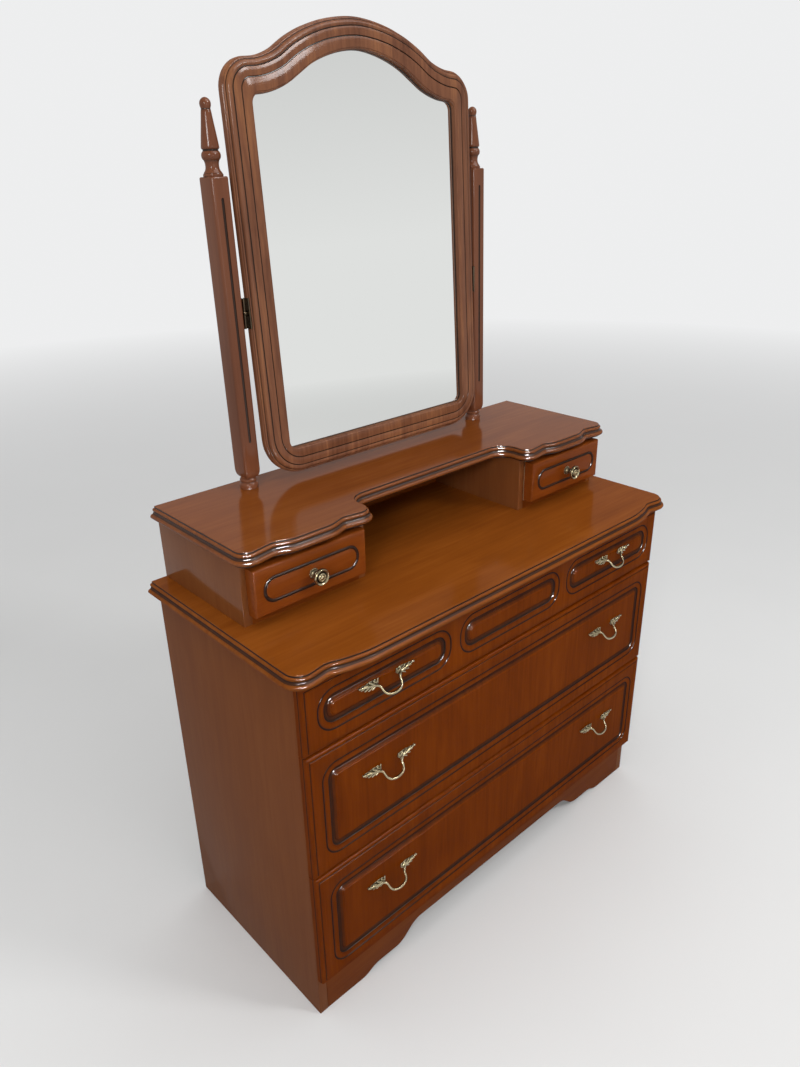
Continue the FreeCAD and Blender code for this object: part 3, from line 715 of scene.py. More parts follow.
def grain_group() -> bpy.types.NodeTree:
    """Stained grain that runs along the first axis of its vector.

    Returns:
        The group.
    """
    sheet, given, result = new_group(
        "stained_grain",
        {"Vector": "Vector", "Dark": "Color", "Middle": "Color", "Light": "Color",
         "Contrast": "Float"},
        {"Colour": "Color", "Height": "Float", "Gloss": "Float"})
    vector = given["Vector"]
    cloud = sheet.noise(sheet.stretch(vector, (2.0, 4.5, 4.5)), 2.1, 3.0, 0.55, 0.6)
    flame = sheet.noise(sheet.stretch(vector, (1.1, 13.0, 13.0)), 2.6, 4.0, 0.6, 1.1)
    streak = sheet.noise(sheet.stretch(vector, (1.6, 46.0, 46.0)), 4.0, 4.0, 0.62, 0.3)
    pore = sheet.noise(sheet.stretch(vector, (12.0, 210.0, 210.0)), 4.5, 2.0, 0.6)
    tone = sheet.plus(sheet.times(cloud, 0.34), sheet.times(flame, 0.38))
    tone = sheet.plus(tone, sheet.times(streak, 0.28))
    away = sheet.times(sheet.minus(tone, 0.5), given["Contrast"])
    tone = sheet.plus(away, 0.5, clamp=True)
    lower = sheet.mix(sheet.ramp(tone, 0.0, 0.5), given["Dark"], given["Middle"])
    colour = sheet.mix(sheet.ramp(tone, 0.5, 1.0), lower, given["Light"])
    open_pore = sheet.ramp(pore, 0.64, 0.76)
    colour = sheet.mix(sheet.times(open_pore, 0.30), colour, given["Dark"])
    sheet.set(result, "Colour", colour)
    sheet.set(result, "Height", sheet.minus(sheet.times(streak, 0.25), open_pore))
    sheet.set(result, "Gloss", sheet.minus(cloud, 0.5))
    return sheet.tree


def glaze_and_shade_group() -> bpy.types.NodeTree:
    """Dark glaze that lies in hollows, and painted shade on undersides, back edges and seats,
    with a soft and broken edge.

    Returns:
        The group.
    """
    sheet, given, result = new_group(
        "hollow_glaze",
        {"Vector": "Vector", "Colour": "Color", "Glaze Colour": "Color", "Mask": "Float"},
        {"Colour": "Color", "Mask": "Float"})
    broken = sheet.noise(given["Vector"], 85.0, 3.0, 0.6)
    edge = sheet.plus(given["Mask"], sheet.times(sheet.minus(broken, 0.5), 0.35))
    inner = sheet.times(sheet.ramp(edge, 0.12, 0.80), given["Mask"], clamp=True)
    sheet.set(result, "Colour", sheet.mix(inner, given["Colour"], given["Glaze Colour"]))
    sheet.set(result, "Mask", inner)
    return sheet.tree


def handling_group() -> bpy.types.NodeTree:
    """Faint smears and dust that change a surface's roughness.

    Returns:
        The group.
    """
    sheet, given, result = new_group(
        "handling",
        {"Vector": "Vector", "Roughness": "Float", "Gloss": "Float", "Amount": "Float"},
        {"Roughness": "Float"})
    smear = sheet.noise(sheet.stretch(given["Vector"], (1.0, 1.0, 0.6)), 7.0, 4.0, 0.6, 0.8)
    speck = sheet.ramp(sheet.noise(given["Vector"], 420.0, 1.0), 0.66, 0.74)
    change = sheet.plus(sheet.minus(smear, 0.5), sheet.times(speck, 0.20))
    change = sheet.minus(change, sheet.times(given["Gloss"], 0.4))
    change = sheet.times(change, given["Amount"])
    sheet.set(result, "Roughness", sheet.plus(given["Roughness"], change, clamp=True))
    return sheet.tree


class Groups:
    """The shader groups that the finishes share."""

    def __init__(self) -> None:
        """Builds each group once."""
        self.grain = grain_group()
        self.glaze_and_shade = glaze_and_shade_group()
        self.handling = handling_group()


def new_material(name: str) -> tuple[bpy.types.Material, Sheet, bpy.types.Node]:
    """Opens a material.

    Args:
        name: Name of the material.

    Returns:
        The material, its sheet and its surface shader.
    """
    made = bpy.data.materials.new(name)
    made.use_nodes = True
    return made, Sheet(made.node_tree), made.node_tree.nodes["Principled BSDF"]


class GrainRun(Enum):
    """Direction of the grain, as the turn that brings it onto the first axis."""

    ACROSS = (0.0, 0.0, 0.0)
    DEEP = (0.0, 0.0, 90.0)
    UPRIGHT = (0.0, 90.0, 0.0)


@dataclass(frozen=True)
class RawWood:
    """Plain unstained wood or hardboard."""

    name: str
    run: GrainRun
    dark: Colour
    middle: Colour
    light: Colour
    contrast: float = 2.4
    roughness: float = 0.62
    smears: float = 0.12
    bump: float = 0.25
    pore_depth: float = 0.0005
    shift: Triple = (0.0, 0.0, 0.0)

    def material(self, groups: Groups) -> bpy.types.Material:
        """Makes the finish's material.

        Args:
            groups: The shader groups.

        Returns:
            The material.
        """
        made, sheet, shader = new_material(self.name)
        place = sheet.on_object()
        turned = sheet.add("ShaderNodeMapping", Vector=place, Location=self.shift,
                           Rotation=[math.radians(angle) for angle in self.run.value])
        grain = sheet.place(groups.grain, Vector=turned.outputs[0], Dark=self.dark,
                            Middle=self.middle, Light=self.light, Contrast=self.contrast)
        handled = sheet.place(groups.handling, Vector=place, Roughness=self.roughness,
                              Gloss=grain["Gloss"], Amount=self.smears)
        colour = self.cover(groups, sheet, shader, grain["Colour"])
        sheet.set(shader, "Base Color", colour)
        sheet.set(shader, "Roughness", handled["Roughness"])
        sheet.set(shader, "Normal", sheet.bump(grain["Height"], self.bump, self.pore_depth))
        return made

    def cover(self, groups: Groups, sheet: Sheet, shader: bpy.types.Node,
              colour: Socket) -> Socket:
        """Leaves the wood as it is."""
        return colour


@dataclass(frozen=True)
class LacqueredWood(RawWood):
    """Stained and lacquered hardwood with dark glaze in its hollows and painted shade on its
    undersides, back edges and seats.
    """

    contrast: float = 1.4
    roughness: float = 0.34
    smears: float = 0.16
    bump: float = 0.10
    pore_depth: float = 0.0004
    # Colour of the glaze; it also paints the shade on undersides, back edges and seats.
    glaze_and_shade: Colour = (0.022, 0.014, 0.010)
    coat: float = 0.20
    coat_roughness: float = 0.13

    def cover(self, groups: Groups, sheet: Sheet, shader: bpy.types.Node,
              colour: Socket) -> Socket:
        """Lays glaze in the hollows, painted shade where the layer marks it, and lacquer over the
        whole.

        Args:
            groups: The shader groups.
            sheet: The material's sheet.
            shader: Its surface shader.
            colour: Colour of the wood.

        Returns:
            The colour with its glaze and painted shade.
        """
        sheet.set(shader, "Specular IOR Level", 0.0)
        sheet.set(shader, "Coat Weight", self.coat)
        sheet.set(shader, "Coat Roughness", self.coat_roughness)
        return sheet.place(groups.glaze_and_shade, Vector=sheet.on_object(), Colour=colour,
                           Glaze_Colour=self.glaze_and_shade, Mask=sheet.hollow())["Colour"]


@dataclass(frozen=True)
class CastBrass:
    """Antique cast brass, bright where it is rubbed, dark in its hollows, with painted shade
    where it sits on the front.
    """

    name: str
    bright: Colour
    dull: Colour
    recess: Colour
    roughness: float = 0.21
    recess_roughness: float = 0.35
    dull_roughness: float = 0.07

    def material(self, groups: Groups) -> bpy.types.Material:
        """Makes the finish's material.

        Args:
            groups: The shader groups.

        Returns:
            The material.
        """
        made, sheet, shader = new_material(self.name)
        place = sheet.on_object()
        tarnish = sheet.ramp(sheet.noise(place, 45.0, 2.0), 0.35, 0.70)
        colour = sheet.mix(tarnish, self.bright, self.dull)
        glazed_and_shaded = sheet.place(groups.glaze_and_shade, Vector=place, Colour=colour,
                             Glaze_Colour=self.recess, Mask=sheet.hollow())
        rough = sheet.plus(self.roughness, sheet.times(glazed_and_shaded["Mask"], self.recess_roughness))
        rough = sheet.plus(rough, sheet.times(tarnish, self.dull_roughness))
        sheet.set(shader, "Base Color", glazed_and_shaded["Colour"])
        sheet.set(shader, "Roughness", rough)
        sheet.set(shader, "Normal", sheet.bump(sheet.noise(place, 500.0, 2.0), 0.05, 0.0003))
        sheet.set(shader, "Metallic", 1.0)
        return made


@dataclass(frozen=True)
class SilveredGlass:
    """Flat mirror glass with a trace of haze."""

    name: str
    colour: Colour
    haze_colour: Colour = (0.80, 0.82, 0.82)
    haze: float = 0.04
    haze_roughness: float = 0.012

    def material(self, groups: Groups) -> bpy.types.Material:
        """Makes the finish's material.

        Args:
            groups: The shader groups, none of which it needs.

        Returns:
            The material.
        """
        made, sheet, shader = new_material(self.name)
        haze = sheet.ramp(sheet.noise(sheet.on_object(), 3.0, 2.0), 0.40, 0.80)
        colour = sheet.mix(sheet.times(haze, self.haze), self.colour, self.haze_colour)
        sheet.set(shader, "Base Color", colour)
        sheet.set(shader, "Roughness", sheet.times(haze, self.haze_roughness))
        sheet.set(shader, "Metallic", 1.0)
        return made


class Finish(Enum):
    """The finishes of the dresser, woods with their dark, middle and light tones."""

    TOP = LacqueredWood(
        "top_wood", GrainRun.ACROSS,
        (0.110, 0.025, 0.003), (0.200, 0.052, 0.006), (0.300, 0.090, 0.013))
    GALLERY = LacqueredWood(
        "gallery_wood", GrainRun.ACROSS,
        (0.095, 0.022, 0.004), (0.175, 0.047, 0.008), (0.265, 0.083, 0.016),
        coat=0.52, shift=(0.0, 0.4, 0.0))
    # Darker than the top's tones: painted shade for the upright fronts, which get less light than
    # the top.
    FRONT = LacqueredWood(
        "front_wood", GrainRun.UPRIGHT,
        (0.086, 0.014, 0.001), (0.154, 0.029, 0.0012), (0.240, 0.051, 0.0025),
        contrast=1.8, coat=0.07)
    # Lighter than front_wood: painted light for the brighter lit small fronts.
    SMALL_FRONT = LacqueredWood(
        "small_front_wood", GrainRun.ACROSS,
        (0.110, 0.022, 0.003), (0.195, 0.044, 0.006), (0.280, 0.070, 0.011),
        contrast=1.5, shift=(0.0, 2.3, 0.0))
    SIDE = LacqueredWood(
        "side_wood", GrainRun.UPRIGHT,
        (0.112, 0.030, 0.008), (0.178, 0.053, 0.013), (0.240, 0.080, 0.020),
        contrast=1.1, shift=(0.0, 1.7, 0.0))
    # Lighter than side_wood: painted light for the brighter lit sides of the gallery.
    GALLERY_SIDE = LacqueredWood(
        "gallery_side_wood", GrainRun.UPRIGHT,
        (0.118, 0.034, 0.010), (0.186, 0.060, 0.017), (0.250, 0.088, 0.026),
        contrast=1.1, coat=0.42, shift=(0.0, 0.6, 0.0))
    RAIL = LacqueredWood(
        "rail_wood", GrainRun.ACROSS,
        (0.082, 0.016, 0.002), (0.152, 0.034, 0.004), (0.225, 0.057, 0.007),
        coat=0.14, shift=(0.0, 0.9, 0.0))
    FRAME = LacqueredWood(
        "frame_wood", GrainRun.UPRIGHT,
        (0.085, 0.030, 0.016), (0.190, 0.074, 0.036), (0.330, 0.138, 0.056),
        contrast=2.7, coat=0.34)
    POST = LacqueredWood(
        "post_wood", GrainRun.UPRIGHT,
        (0.085, 0.026, 0.011), (0.160, 0.054, 0.024), (0.225, 0.084, 0.038), coat=0.46)
    TRAY = RawWood(
        "tray_wood", GrainRun.DEEP,
        (0.42, 0.29, 0.16), (0.56, 0.41, 0.25), (0.66, 0.52, 0.34))
    BACK = RawWood(
        "back_board", GrainRun.UPRIGHT,
        (0.20, 0.125, 0.07), (0.26, 0.17, 0.10), (0.31, 0.21, 0.13))
    BRASS = CastBrass(
        "antique_brass", (0.47, 0.40, 0.255), (0.29, 0.235, 0.135), (0.018, 0.012, 0.007))
    PIVOT = CastBrass(
        "pivot_metal", (0.14, 0.10, 0.06), (0.08, 0.06, 0.04), (0.03, 0.02, 0.015))
    GLASS = SilveredGlass("mirror_glass", (0.86, 0.87, 0.85))


@dataclass
class Workshop:
    """What every sub-assembly needs: the finishes, and the way to fit a piece."""

    made: dict[Finish, bpy.types.Material] = field(default_factory=dict)
    polished: dict[Finish, list[Object]] = field(default_factory=dict)
    fitted: int = 0

    def __post_init__(self) -> None:
        """Makes the material of every finish."""
        groups = Groups()
        for finish in Finish:
            self.made[finish] = finish.value.material(groups)
            self.polished[finish] = []

    def dress(self, obj: Object, finish: Finish) -> None:
        """Gives an object one finish all over, and notes what is polished.

        Args:
            obj: The object.
            finish: Its finish.
        """
        if not obj.material_slots:
            obj.data.materials.append(self.made[finish])
        for slot in obj.material_slots:
            slot.material = self.made[finish]
        if isinstance(finish.value, LacqueredWood):
            self.polished[finish].append(obj)

    def fit(self, piece: Object, body: str, finish: Finish, slot: str, *nodes: str) -> None:
        """Dresses a new piece and fits it to the body that carries it.

        Args:
            piece: The finished piece.
            body: Body that it moves with.
            finish: Finish that it gets.
            slot: Material slot of the record that the finish comes from; not used.
            nodes: Plain nodes that it stands for.
        """
        self.dress(piece, finish)
        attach(piece, body)
        if nodes:
            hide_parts(*nodes)
        self.fitted += 1
        log.info("%s rides on %s with %d faces", piece.name, body, len(piece.data.polygons))

    def keep(self, finish: Finish, *nodes: str) -> None:
        """Dresses nodes of the frame that stay as they are."""
        for node in nodes:
            self.dress(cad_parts[node], finish)


# ---------------------------------------------------------------- tops
@dataclass
class MouldedTops:
    """The main top and the gallery top with their moulded edges."""

    workshop: Workshop
    past_back: float = 48.0             # what is cut off behind the back plane
    main_surface: float = 722.0
    main_half: float = 474.5
    main_front: float = -423.0
    main_corner: float = 24.0
    lobe_setback: float = 7.5
    recess_in: float = 57.5
    recess_depth: float = 17.0
    recess_radius: float = 30.0
    swell_run: float = 47.0
    swell_radius: float = 200.0
    gallery_surface: float = 854.0
    gallery_half: float = 449.5
    gallery_inner: float = 198.5
    gallery_corner: float = 24.0
    gallery_lobe: float = -267.0
    gallery_lobe_radius: float = 19.0
    gallery_recess: float = 10.5
    gallery_recess_in: float = 58.0
    gallery_recess_radius: float = 24.0
    gallery_swell: float = 1.0
    gallery_swell_in: float = 87.0
    gallery_swell_radius: float = 55.0
    bridge_x: float = 206.0
    bridge_depth: float = 197.0
    bridge_radius: float = 38.0

    @staticmethod
    def edge_stations() -> list[Station]:
        """Edge of a top: arris, quirk, bead, cove, torus and fillet, with painted shade on the
        fillet and underside.

        Returns:
            The stations, from the flat surface down to the underside.
        """
        stations = arc((0.0, 0.0), (0.5, -0.8), 0.12, 3, (0.0, 0.0, 0.2))
        stations += [(0.6, -1.1, 0.85), (0.7, -2.6, 1.0), (0.9, -3.0, 1.0), (1.3, -3.1, 0.85)]
        stations += arc((1.5, -3.2), (3.6, -8.2), 1.9, 8, (0.35, 0.0, 0.5))
        stations += [(3.4, -8.6, 0.95)]
        stations += arc((3.4, -8.9), (6.2, -12.6), -0.9, 5, (0.95, 0.82, 0.85))
        stations += arc((6.4, -12.8), (5.8, -21.0), 3.85, 10, (0.45, 0.0, 0.45))
        # The fillet and underside take full glaze value: painted shade under the overhang.
        stations += [(4.8, -21.0, 1.0), (3.4, -21.0, 1.0), (3.2, -24.0, 1.0), (-4.0, -24.0, 1.0)]
        return stations

    def build(self) -> None:
        """Builds and fits both tops."""
        recess_x = self.main_half - self.recess_in
        self._top("main_top_moulded", self.main_surface, Finish.TOP, "main_top", [
            (recess_x - self.swell_run, self.main_front, self.swell_radius),
            (recess_x, self.main_front + self.recess_depth, self.recess_radius),
            (self.main_half, self.main_front + self.lobe_setback, self.main_corner),
            (self.main_half, self.past_back, self.main_corner)])
        inner, outer, lobe = self.gallery_inner, self.gallery_half, self.gallery_lobe
        swell = (lobe - self.gallery_swell, self.gallery_swell_radius)
        recess = (lobe + self.gallery_recess, self.gallery_recess_radius)
        self._top("gallery_top_moulded", self.gallery_surface, Finish.GALLERY, "gallery_top", [
            (self.bridge_x, -self.bridge_depth, self.bridge_radius),
            (inner, lobe, self.gallery_lobe_radius),
            (inner + self.gallery_recess_in, *recess),
            (inner + self.gallery_swell_in, *swell),
            (outer - self.gallery_swell_in, *swell),
            (outer - self.gallery_recess_in, *recess),
            (outer, lobe, self.gallery_lobe_radius),
            (outer, self.past_back, self.gallery_corner)])

    def _top(self, name: str, surface: float, finish: Finish, node: str,
             right_half: Sequence[Corner]) -> None:
        """Builds one top and fits it.

        Args:
            name: Name of the top.
            surface: Height of its surface.
            finish: Its finish.
            node: Plain node that it stands for.
            right_half: Right half of its outline.
        """
        piece = Workpiece(name).outline(mirrored(right_half), flats=10)
        piece.run(self.edge_stations()).cap()
        piece.trim(0.0)
        made = piece.leave_bench(Matrix.Translation((0, 0, surface)))
        self.workshop.fit(made, "root", finish, "case_wood", node)


# ---------------------------------------------------------------- carcass
@dataclass
class Carcass:
    """Sides, plinth and the boards that show between the drawers."""

    workshop: Workshop
    half_width: float = 465.0
    side: float = 18.0
    depth: float = 388.0
    height: float = 698.0
    side_easing: float = 1.4
    base_top: float = 86.0
    plinth_thick: float = 18.0
    plinth_easing: float = 2.2
    foot_x: float = 359.0
    foot_run: float = 26.0
    foot_rise: float = 12.0
    shelf: float = 64.0
    apron_run: float = 38.0
    apron_rise: float = 32.0
    curve_radius: float = 36.0

    def build(self) -> None:
        """Builds the sides and the plinth, and dresses the plain boards."""
        inner = self.half_width - self.side
        board = Workpiece("side_board_right").block(
            (inner, -self.depth, 0.0), (self.half_width, 0.0, self.height), self.side_easing)
        right = board.leave_bench(Matrix.Identity(4))
        left = other_side(right, "side_board_left")
        self.workshop.fit(right, "root", Finish.SIDE, "case_wood", "side_right")
        self.workshop.fit(left, "root", Finish.SIDE, "case_wood", "side_left")
        self._plinth(inner)
        self.workshop.keep(Finish.RAIL, "rail_upper", "rail_lower", "base_board")
        self.workshop.keep(Finish.TRAY, "runners_upper", "runners_lower")
        self.workshop.keep(Finish.BACK, "back_panel")

    def _plinth(self, half: float) -> None:
        """Builds the plinth with its stepped ogee outline.

        Args:
            half: Half its length.
        """
        shelf_x = self.foot_x - self.foot_run
        shelf_end = shelf_x - self.shelf
        apron = (shelf_end - self.apron_run, self.foot_rise + self.apron_rise)
        piece = Workpiece("plinth_shaped").outline(mirrored([
            (*apron, self.curve_radius),
            (shelf_end, self.foot_rise, self.curve_radius),
            (shelf_x, self.foot_rise, self.curve_radius),
            (self.foot_x, 0.0, self.curve_radius),
            (half, 0.0, 0.0),
            (half, self.base_top, 0.0)]))
        # The cut edge darkens to 0.6 towards its back: painted shade under and behind the
        # plinth's edge.
        piece.run([(0.0, 0.0, 0.0), (0.0, -self.plinth_thick, 0.6)]).cap()
        below_top = self.base_top - 1.0
        piece.choose(lambda p: p.z > -SKIN and p.y < below_top, boundary=False)
        piece.ease(self.plinth_easing, clamped=True)
        made = piece.leave_bench(standing(-self.depth))
        self.workshop.fit(made, "root", Finish.RAIL, "case_wood", "plinth_board")


# ---------------------------------------------------------------- drawers
@dataclass
class FieldedFront:
    """A full-width drawer front with raised fields."""

    name: str
    low: float
    high: float
    fields: Sequence[Field]
    half_width: float = 465.0
    thick: float = 17.5
    edge: float = 9.3

    def edge_stations(self) -> list[Station]:
        """Moulded edge of the board, from its face out to its back, with painted shade on the
        edge behind the moulding.

        Returns:
            The stations.
        """
        inner = -self.edge
        stations = arc((inner, 0.0), (inner + 0.9, -0.8), 0.2, 4, (0.0, 0.0, 0.4))
        stations += [(inner + 1.1, -1.4, 0.9), (inner + 1.5, -1.8, 1.0), (inner + 2.1, -1.8, 0.9)]
        stations += arc((inner + 2.5, -1.5), (-0.9, -7.6), 2.0, 8, (0.3, 0.0, 0.1))
        # After the second quirk's glaze, the edge runs back at 0.2 to 0.3: painted shade in the
        # gaps between the fronts.
        stations += [(-0.9, -8.2, 0.9), (-0.3, -8.8, 0.9), (0.0, -9.4, 0.2),
                     (0.0, 0.5 - self.thick, 0.3), (-0.5, -self.thick, 0.3)]
        return stations

    @staticmethod
    def field_stations() -> list[Station]:
        """Groove, band, cove and raised middle of a field, going inwards.

        Returns:
            The stations.
        """
        stations = [(1.9, 0.0, 0.0), (1.5, -0.2, 0.4)]
        stations += arc((1.2, -0.6), (-1.3, -1.0), -1.2, 6, (0.9, 1.0, 0.85))
        stations += arc((-1.7, -0.9), (-11.4, -1.4), 1.1, 8, (0.45, 0.0, 0.35))
        stations += [(-11.7, -1.9, 1.0), (-12.1, -2.6, 1.0)]
        stations += arc((-12.6, -3.0), (-18.6, -4.5), -0.7, 5, (1.0, 0.78, 0.72))
        stations += arc((-19.0, -4.4), (-22.9, -1.9), -0.4, 5, (0.85, 0.62, 0.50))
        stations += [(-23.2, -1.5, 0.75)]
        stations += arc((-23.6, -1.2), (-26.4, 0.0), 0.5, 6, (0.20, 0.0, 0.0))
        return stations

    def build(self) -> Object:
        """Builds the front and stands it in its place.

        Returns:
            The front.
        """
        x = self.half_width - self.edge
        face = (-x, self.low + self.edge, x, self.high - self.edge)
        piece = Workpiece(self.name).outline(rectangle(*face), filled=False)
        start = self.field_stations()[0][0]
        for x0, z0, x1, z1, radius in self.fields:
            grown = rectangle(x0 - start, z0 - start, x1 + start, z1 + start, radius + start)
            piece.outline(grown, flats=10, filled=False)
        piece.fill_between()
        piece.choose(on_rim(*face))
        piece.run(self.edge_stations()).cap()
        margin = 2.0
        for x0, z0, x1, z1, _ in self.fields:
            piece.choose(inside(x0 - margin, z0 - margin, x1 + margin, z1 + margin))
            piece.run(self.field_stations()).cap()
        return piece.leave_bench(standing(FRONTS_Y), smooth_deg=28.0)


@dataclass(frozen=True)
class Tier:
    """Heights of one full-width drawer's front, its field and its handles."""

    name: str
    low: float
    high: float
    field_low: float
    field_high: float
    handle: float


@dataclass
class LargeDrawers:
    """The three full-width drawers with their handles."""

    workshop: Workshop
    tiers: Sequence[Tier] = (Tier("upper", 572.0, 696.0, 600.0, 674.0, 647.5),
                             Tier("middle", 330.5, 570.0, 361.0, 540.5, 482.0),
                             Tier("lower", 88.0, 328.5, 116.0, 297.5, 238.0))
    outer: float = 437.0
    side_field: float = 279.0
    between: float = 23.0
    upper_radius: float = 33.0
    radius: float = 29.0
    handle_x: float = 303.5

    def build(self) -> None:
        """Builds the fronts and handles, and dresses the trays."""
        pattern = Handle()
        for tier in self.tiers:
            body = "drawer_" + tier.name
            front = FieldedFront(body + "_front_fielded", tier.low, tier.high, self._fields(tier))
            self.workshop.fit(front.build(), body, Finish.FRONT, "front_wood", body + "_front")
            for side, label in ((1, "right"), (-1, "left")):
                node = "handle_" + tier.name + "_" + label
                cast = pattern.cast(node + "_cast", side * self.handle_x, tier.handle)
                self.workshop.fit(cast, body, Finish.BRASS, "antique_brass", node)
            self.workshop.keep(Finish.TRAY, body + "_sides", body + "_back", body + "_bottom")
        pattern.put_away()

    def _fields(self, tier: Tier) -> list[Field]:
        """Fields of one front.

        Args:
            tier: Heights of the front.

        Returns:
            Three fields for the upper front, or one.
        """
        low, high = tier.field_low, tier.field_high
        if tier.name != "upper":
            return [(-self.outer, low, self.outer, high, self.radius)]
        inner = self.outer - self.side_field
        middle = inner - self.between
        spans = [(-self.outer, -inner), (-middle, middle), (inner, self.outer)]
        return [(x0, low, x1, high, self.upper_radius) for x0, x1 in spans]


@dataclass
class Handle:
    """Cast handle: a drooping bow between two acanthus leaves."""

    grain: float = 0.42                 # size of the casting's finest detail
    softness: float = 0.5
    soft_rounds: int = 3
    seat: float = 0.02                  # level of its flat back
    hollow_reach: int = 5              # rounds of smoothing that a hollow is measured from
    hollow_glaze: float = 4.5
    # painted shade near the flat back, where the handle sits on the front
    foot_shade: float = 0.9
    foot_height: float = 1.8
    pattern: Object | None = None

    @staticmethod
    def _bar(rod: Rod) -> Object:
        """Draws a smooth bar.

        Args:
            rod: Points along the bar with its thickness.

        Returns:
            The bar as a mesh.
        """
        curve = bpy.data.curves.new("bar", "CURVE")
        curve.dimensions = "3D"
        curve.bevel_depth = 1.0
        curve.bevel_resolution = 4
        curve.resolution_u = 8
        curve.use_fill_caps = True
        spline = curve.splines.new("NURBS")
        spline.points.add(len(rod) - 1)
        for point, (x, y, z, thick) in zip(spline.points, rod):
            point.co = (x, y, z, 1.0)
            point.radius = thick
        spline.order_u = 3
        spline.use_endpoint_u = True
        bar = bpy.data.objects.new("bar", curve)
        bpy.context.scene.collection.objects.link(bar)
        take_up(bar)
        bpy.ops.object.convert(target="MESH")
        return bpy.context.object

    @staticmethod
    def _ball(middle: Triple, flats: int, radius: float = 1.0,
              stretch: Triple | None = None) -> Object:
        """Adds a ball or a flattened ball.

        Args:
            middle: Middle of the ball.
            flats: Number of flats round it.
            radius: Its radius.
            stretch: Factor of each axis, if it isn't round.

        Returns:
            The ball.
        """
        bpy.ops.mesh.primitive_uv_sphere_add(segments=flats, ring_count=12, radius=radius,
                                             location=middle)
        if stretch is not None:
            bpy.ops.transform.resize(value=stretch, center_override=middle)
        return bpy.context.object

    @staticmethod
    def _leaf() -> list[Rod]:
        """Ribs of the right leaf: midrib, upper lobes, root curl and lower lobes.

        Returns:
            The ribs as rods.
        """
        return [
            [(21, -5.8, 3.4, 2.1), (30, -4.8, 4.3, 2.0), (42, -2.6, 3.6, 1.8),
             (52, -0.6, 2.4, 1.4), (55.5, 0.0, 2.0, 1.3)],
            [(36, -3.2, 2.8, 1.3), (42, -0.2, 2.8, 1.5), (46.5, 1.6, 2.0, 1.2)],
            [(27, -4.0, 3.0, 1.4), (33, -0.4, 3.2, 1.6), (37.4, 2.2, 2.6, 1.4),
             (35.6, 3.8, 1.9, 1.1)],
            [(21, -5.2, 3.0, 1.5), (25, -1.6, 3.4, 1.5), (28.4, 1.8, 2.9, 1.5),
             (26.2, 4.0, 2.3, 1.2), (23.8, 2.6, 2.4, 1.0)],
            [(20.6, -6.0, 2.8, 1.6), (19.8, -2.0, 2.9, 1.4), (20.6, 1.6, 2.7, 1.3),
             (18.6, 3.3, 2.5, 1.2)],
            [(44, -3.4, 2.6, 1.3), (49, -4.6, 2.3, 1.4), (52.6, -4.4, 1.7, 1.1)],
            [(36, -4.8, 2.9, 1.4), (42, -7.6, 2.8, 1.7), (46.4, -9.2, 2.0, 1.3)],
            [(29, -6.0, 3.1, 1.5), (34, -9.4, 3.0, 1.8), (38.8, -12.2, 2.1, 1.4)],
            [(23, -7.0, 3.0, 1.6), (26.6, -10.4, 3.0, 1.8), (30.4, -13.4, 2.1, 1.4)],
        ]

    def _make_pattern(self) -> Object:
        """Models the handle once, face up about the origin, in mm.

        Returns:
            The pattern.
        """
        bow = [(29.0, -5.2, 2.5, 2.2), (25.5, -5.8, 5.0, 2.4), (22.0, -6.5, 7.5, 2.3),
               (19.6, -9.0, 10.5, 1.9), (19.2, -14.0, 15.0, 1.9), (15.0, -19.5, 19.6, 2.1),
               (7.0, -21.6, 21.6, 2.3), (0.0, -22.0, 22.0, 2.5)]
        parts = [self._bar(bow + [(-x, y, z, thick) for x, y, z, thick in reversed(bow[:-1])])]
        for side in (1, -1):
            for rib in self._leaf():
                parts.append(self._bar([(side * x, y, z, thick) for x, y, z, thick in rib]))
            parts.append(self._ball((side * 55.6, 0.2, 2.2), 20, 2.3))
            parts.append(self._ball((side * 23.5, -6.2, 5.4), 20, 2.9))
            parts.append(self._ball((side * 33, -4.6, 0.5), 24, stretch=(14, 7.0, 1.4)))
            parts.append(self._ball((side * 45, -2.6, 0.5), 24, stretch=(9.5, 4.0, 1.2)))
        take_up(parts[0])
        for part in parts:
            part.select_set(True)
        bpy.ops.object.join()
        joined = bpy.context.object
        bpy.ops.object.transform_apply(location=True, rotation=True, scale=True)
        work(joined, "REMESH", mode="VOXEL", voxel_size=self.grain)
        work(joined, "SMOOTH", factor=self.softness, iterations=self.soft_rounds)
        cut_below(joined, self.seat)
        self._mark_hollows(joined)
        joined.name = "handle_pattern"
        return joined

    def _mark_hollows(self, obj: Object) -> None:
        """Writes how deep each point lies in a hollow as its glaze, and adds painted shade near
        the flat back that sits on the front.

        Args:
            obj: The pattern.
        """
        mesh = bmesh.new()
        mesh.from_mesh(obj.data)
        glaze_and_shade = mesh.verts.layers.float.new(GLAZE_AND_SHADE)
        mesh.verts.index_update()
        around = [[edge.other_vert(v).index for edge in v.link_edges] for v in mesh.verts]
        smooth = [vertex.co.copy() for vertex in mesh.verts]
        for _ in range(self.hollow_reach):
            smooth = [(own + sum((smooth[i] for i in ring), Vector())) / (1 + len(ring))
                      for own, ring in zip(smooth, around)]
        for vertex in mesh.verts:
            sunk = (smooth[vertex.index] - vertex.co).dot(vertex.normal) / self.grain
            # Painted shade that grows towards the flat back, where the handle meets the drawer
            # front.
            seat_shade = max(0.0, 1.0 - vertex.co.z / self.foot_height)
            vertex[glaze_and_shade] = min(1.0, max(0.0, sunk * self.hollow_glaze)
                                + self.foot_shade * seat_shade)
        mesh.to_mesh(obj.data)
        mesh.free()

